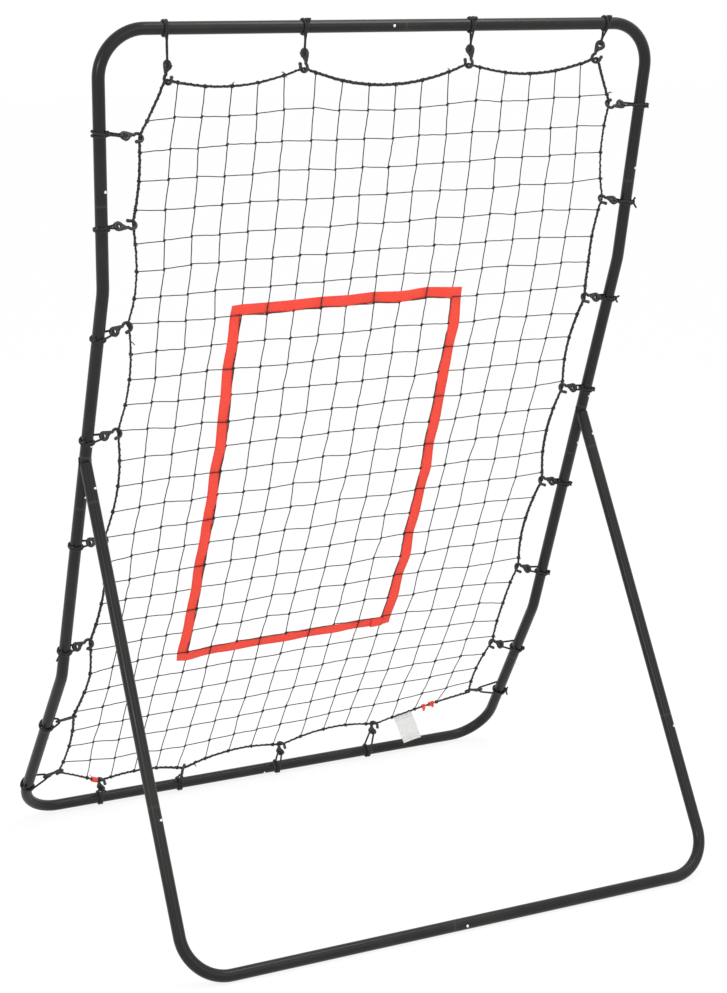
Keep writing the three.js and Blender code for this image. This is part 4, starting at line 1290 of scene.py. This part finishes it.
def makeRope():
    path = [point + shaken(rope["wander"]) for point in smoothLine(ropeLine(), rope["steps"], closed=True)]
    sizes = ropeSizes(len(path))
    bm = sweep(path, roundSection(rope["radius"], rope["sides"]), closed=True, sizes=sizes)
    join(bm, lashing(path, sizes))
    middle = onNet(0, 0.95)
    tied = 0
    for edge, count in meshCounts.items():
        for mesh in range(1, count):
            place, tangent = ropeSpot(edge, mesh), ropeWay(edge, mesh)
            ropeKnot(bm, place, tangent, middle - place)
            tied += 1
            if tied % rope["fluffEvery"] == 0:
                way = squareTo(tangent, Vector((chance.uniform(-1, 1), -1, chance.uniform(-1, 1))))
                fray(bm, place + way * rope["radius"], way, *rope["fluff"])
    for edge, mesh, way, length in frays:
        place = ropeSpot(edge, mesh)
        end = place + Vector(way).normalized() * length
        bend = place.lerp(end, 0.6) + Vector((0, 0, length * 0.15))
        join(bm, sweep(smoothLine([place, bend, end], 3), roundSection(rope["strand"], 6)))
        fray(bm, end, unit(bend, end), length * 0.3, *rope["strandFray"])
    piece = finishPiece(bm, "edge_rope", [ropeBlack, cutFibre])
    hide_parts("border_rope")
    print("border rope length", round(sum((b - a).length for a, b in zip(path, path[1:])), 2))


makeRope()
print("border rope made")


# The target ribbon: webbing woven over and under the strands, with its ends lapped and sewn near one corner.
ribbon = {
    "width": 0.025, "thickness": 0.0009, "gap": 0.0004, "columns": (3.8, 12.2), "rows": (7.8, 22.2),
    "across": 4, "steps": 3, "ripple": 0.0005, "cup": 0.0006, "rounding": 0.84,
    "lap": (11.55, 12.05), "lapSteps": 6, "lapWidth": 0.97, "lapLift": 0.0012,
    "stitch": 0.0004, "stitchLength": 0.003, "stitchRows": (0.5, 5.5), "stitchWidth": 0.9, "stitchHump": 0.0002,
}
clearOfTwine = netShape["twine"] + ribbon["gap"]


def netAt(column, row):
    i, j = min(int(column), netShape["columns"] - 1), min(int(row), netShape["rows"] - 1)
    upper = net[j][i].lerp(net[j][i + 1], column - i)
    lower = net[j + 1][i].lerp(net[j + 1][i + 1], column - i)
    return upper.lerp(lower, row - j)


# The net's direction at a place, over one mesh the given way.
def netWay(column, row, x, y):
    return netAt(column + x / 2, row + y / 2) - netAt(column - x / 2, row - y / 2)


# One place of the ribbon: its middle, its half width outwards, and the way it faces.
def ribbonSpot(column, row, out, lift):
    normal = netWay(column, row, 0, 1).cross(netWay(column, row, 1, 0)).normalized()
    reach = ribbon["width"] / 2 * (math.sqrt(2) if all(out) else 1)
    return netAt(column, row) + normal * lift, squareTo(normal, netWay(column, row, *out)) * reach, normal


# The ribbon passes in front of the odd rows and the even columns, and behind the others.
def ribbonLine():
    left, right = ribbon["columns"]
    top, foot = ribbon["rows"]
    lift = clearOfTwine + ribbon["thickness"] / 2
    steps = ribbon["steps"]
    corners = [(left, top), (left, foot), (right, foot), (right, top), (left, top)]
    line = []
    for start, end, out in zip(corners, corners[1:], ((-1, 0), (0, 1), (1, 0), (0, -1))):
        corner = (-1 if start[0] == left else 1, -1 if start[1] == top else 1)
        line.append(ribbonSpot(*start, corner, 0))
        isUpright = 1 if out[0] else 0
        low, high = sorted((start[isUpright], end[isUpright]))
        run = [n / steps for n in range(math.ceil(low * steps), math.floor(high * steps) + 1)]
        for n in run if end[isUpright] == high else run[::-1]:
            place = (start[0], n) if isUpright else (n, start[1])
            wave = math.cos(math.pi * (n - isUpright))
            ripple = ribbon["ripple"] * chance.uniform(-1, 1)
            line.append(ribbonSpot(*place, out, lift * wave + ripple))
    return line


# A strip of webbing through the given places, with its UV map in metres. The outer corners are rounded.
def ribbonStrip(line, closed):
    count = len(line) if closed else len(line) - 1
    lengths = [0.0]
    for i in range(count):
        lengths.append(lengths[-1] + (line[(i + 1) % len(line)][0] - line[i][0]).length)

    def placeAt(x, y):
        middle, out, normal = line[round(y * count) % len(line)]
        share = 2 * x - 1
        isCorner = out.length > ribbon["width"] * 0.6
        across = min(share, ribbon["rounding"]) if isCorner else share
        return middle + out * across - normal * ribbon["cup"] * share ** 2

    def uvAt(u, v):
        return u * ribbon["width"], lengths[round(v * count)]

    bm = gridPart(ribbon["across"], count, uvAt, placeAt)
    bmesh.ops.remove_doubles(bm, verts=bm.verts, dist=1e-6)
    return bm, lengths[-1]


# Gives a one-sheet piece its wall, half to each side.
def thicken(piece, thickness):
    wall = piece.modifiers.new("wall", "SOLIDIFY")
    wall.thickness = thickness
    wall.offset = 0


def makeRibbon():
    start, end = ribbon["lap"]
    foot = ribbon["rows"][1]
    steps = ribbon["lapSteps"]

    def lapSpot(k, layers):
        lift = clearOfTwine + ribbon["thickness"] * layers + ribbon["lapLift"]
        return ribbonSpot(start + (end - start) * k / steps, foot, (0, 1), lift)

    bm, length = ribbonStrip(ribbonLine(), True)
    spots = [lapSpot(k, 2) for k in range(steps + 1)]
    spots = [(middle, out * ribbon["lapWidth"], normal) for middle, out, normal in spots]
    join(bm, ribbonStrip(spots, False)[0])
    piece = finishPiece(bm, "target_webbing", [redWebbing])
    thicken(piece, ribbon["thickness"])
    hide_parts("target_ribbon")

    thread = blankPart()
    stitch, wide = ribbon["stitchLength"], ribbon["stitchWidth"]
    for k in ribbon["stitchRows"]:
        middle, out, normal = lapSpot(k, 2.6)
        count = int(2 * out.length * wide / stitch)
        way = out.normalized() * stitch * 0.36
        for n in range(count):
            spot = middle + out * (2 * (n + 0.5) / count - 1) * wide
            join(thread, sweep([spot - way, spot + normal * ribbon["stitchHump"], spot + way],
                               roundSection(ribbon["stitch"], 5), sizes=[0.6, 1, 0.6]))
    finishPiece(thread, "webbing_stitches", [redThread])
    print("ribbon length", round(length, 3))


makeRibbon()
print("target ribbon made")


# The blank tag is sewn to the rope and hangs in front of the foot bar.
tag = {
    "width": 0.046, "drop": 0.073, "thickness": 0.0005, "meshes": (13.6, 15.3), "curl": 0.0035, "steps": 14,
    "lean": 0.1, "hem": (0.10, 0.86), "hemLift": 0.0004, "seams": (0.06, 0.13, 0.80, 0.90), "stitches": 16,
    "seamWidth": 0.94, "thread": 0.0003,
}


def makeTag():
    ends = [ropeSpot("foot", mesh) for mesh in tag["meshes"]]
    way = unit(*ends)
    square = squareTo(way, Vector((0, 0, -1)))
    out = way.cross(square)
    if out.y > 0:
        out = -out
    down = (square + way * tag["lean"]).normalized()
    top = (ends[0] + ends[1]) / 2

    def tagSpot(across, share, lift):
        curl = tag["curl"] * math.sin(share * 2.4) * (0.4 + across * across * 3)
        place = top + way * across * tag["width"] + down * (rope["radius"] * 0.9 + share * tag["drop"])
        return place + out * (curl + lift)

    def placeAt(x, y):
        share = 1 - y
        isHem = share < tag["hem"][0] or share > tag["hem"][1]
        return tagSpot(x - 0.5, share, tag["hemLift"] if isHem else 0)

    bm = gridPart(tag["steps"], tag["steps"], lambda u, v: (u * tag["width"], v * tag["drop"]), placeAt)
    piece = finishPiece(bm, "cloth_tag", [whiteCloth])
    thicken(piece, tag["thickness"])
    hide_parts("blank_tag")

    thread = blankPart()
    count = tag["stitches"]
    half = way * tag["width"] / count * 0.34
    for share in tag["seams"]:
        for n in range(count):
            across = ((n + 0.5) / count - 0.5) * tag["seamWidth"]
            spot = tagSpot(across, share, tag["thickness"] + tag["thread"])
            join(thread, sweep([spot - half, spot + half], roundSection(tag["thread"], 4)))
    finishPiece(thread, "tag_stitches", [greyThread])


makeTag()
print("tag made")


# Short red ties round the rope, each with its ends left long. A flap is its way, its length and its width.
redTie = {"cord": 0.0013, "sides": 6, "pitch": 0.0028, "steps": 10, "thickness": 0.0006, "bow": 0.002}
redTies = [
    {"mesh": 1.42, "turns": 5, "radius": 0.0050,
     "flaps": [((-0.66, -0.15, 0.74), 0.024, 0.006), ((0.4, -0.6, -0.6), 0.007, 0.006)]},
    {"mesh": 15.75, "turns": 5, "radius": 0.0045,
     "flaps": [((0.5, -0.5, 0.75), 0.011, 0.006), ((0.25, -0.5, -0.9), 0.008, 0.009)]},
    {"mesh": 15.4, "turns": 3, "radius": 0.0043, "flaps": [((-0.35, -0.4, -0.8), 0.011, 0.009)]},
]


def makeRedTie(number, each):
    place, tangent = ropeSpot("foot", each["mesh"]), ropeWay("foot", each["mesh"])
    across = squareTo(tangent, minusY)
    other = tangent.cross(across)
    path = []
    for k in range(each["turns"] * redTie["steps"] + 1):
        turned = k / redTie["steps"]
        angle = 2 * math.pi * turned
        shift = tangent * redTie["pitch"] * (turned - each["turns"] / 2)
        path.append(place + shift + (across * math.cos(angle) + other * math.sin(angle)) * each["radius"])
    bm = sweep(path, roundSection(redTie["cord"], redTie["sides"]))
    root = place + across * each["radius"]
    for way, length, width in each["flaps"]:
        way = Vector(way).normalized()
        side = squareTo(way, tangent) * width / 2
        narrowing = 0.85 if length > width * 2 else 0.6
        flap = blankPart()
        bmesh.ops.create_grid(flap, x_segments=2, y_segments=5, size=0.5)
        for vert in flap.verts:
            t = vert.co.y + 0.5
            reach = side * vert.co.x * 2 * (1 - narrowing * t)
            vert.co = root + way * length * t + reach + across * redTie["bow"] * math.sin(3 * t)
        bmesh.ops.recalc_face_normals(flap, faces=flap.faces)
        bmesh.ops.solidify(flap, geom=flap.faces, thickness=redTie["thickness"])
        join(bm, flap)
    finishPiece(bm, f"red_tie_{number}", [redThread], angle=50)


for number, each in enumerate(redTies, 1):
    makeRedTie(number, each)
print("red ties made")


# Floor, light and background.
stageSet = {"size": 60, "floor": 0.93, "cameraWhite": 0.82, "glow": 1.03, "world": 0.88}


# Where the surface is seen straight, in a mirror or through something, it is mixed with another shader.
def mixWhereSeen(tree, shader, other, share, output):
    rays = tree.nodes.new("ShaderNodeLightPath").outputs
    seen = mathNode(tree, "MAXIMUM", rays["Is Camera Ray"], rays["Is Glossy Ray"])
    seen = mathNode(tree, "MAXIMUM", seen, rays["Is Transmission Ray"])
    mix = tree.nodes.new("ShaderNodeMixShader")
    tree.links.new(mathNode(tree, "MULTIPLY", seen, share), mix.inputs[0])
    tree.links.new(shader.outputs[0], mix.inputs[1])
    tree.links.new(other.outputs[0], mix.inputs[2])
    tree.links.new(mix.outputs[0], tree.nodes[output].inputs["Surface"])


def makeFloor():
    bm = bmesh.new()
    bmesh.ops.create_grid(bm, x_segments=1, y_segments=1, size=stageSet["size"] / 2)
    mesh = bpy.data.meshes.new("floor")
    bm.to_mesh(mesh)
    bm.free()
    floor = bpy.data.objects.new("floor", mesh)
    bpy.context.scene.collection.objects.link(floor)
    material, tree, shader = newMaterial("paleFloor", (stageSet["floor"],) * 3, 0.9)
    glow = addNode(tree, "ShaderNodeEmission", Strength=stageSet["glow"], Color=(1, 1, 1, 1))
    mixWhereSeen(tree, shader, glow, stageSet["cameraWhite"], "Material Output")
    mesh.materials.append(material)


def makeWorld():
    world = bpy.data.worlds.new("studio")
    world.use_nodes = True
    tree = world.node_tree
    light = tree.nodes["Background"]
    light.inputs["Color"].default_value = (1, 1, 1, 1)
    light.inputs["Strength"].default_value = stageSet["world"]
    white = addNode(tree, "ShaderNodeBackground", Strength=1.0, Color=(1, 1, 1, 1))
    mixWhereSeen(tree, light, white, 1.0, "World Output")
    bpy.context.scene.world = world


lamps = [
    {"name": "key", "place": (0.9, -0.7, 3.7), "size": 1.3, "power": 27},
    {"name": "side", "place": (-2.8, -1.7, 1.9), "size": 0.5, "power": 14},
    {"name": "fill", "place": (0.6, -3.8, 2.8), "size": 2.8, "power": 20},
]


def makeLamps():
    middle = Vector((0, 0, 0.9))
    for lamp in lamps:
        data = bpy.data.lights.new(lamp["name"], "AREA")
        data.energy = lamp["power"]
        data.size = lamp["size"]
        light = bpy.data.objects.new(lamp["name"], data)
        light.location = lamp["place"]
        light.rotation_euler = (middle - light.location).to_track_quat("-Z", "Y").to_euler()
        bpy.context.scene.collection.objects.link(light)


makeFloor()
makeWorld()
makeLamps()
bpy.context.scene.view_settings.view_transform = "Standard"
print("stage made")
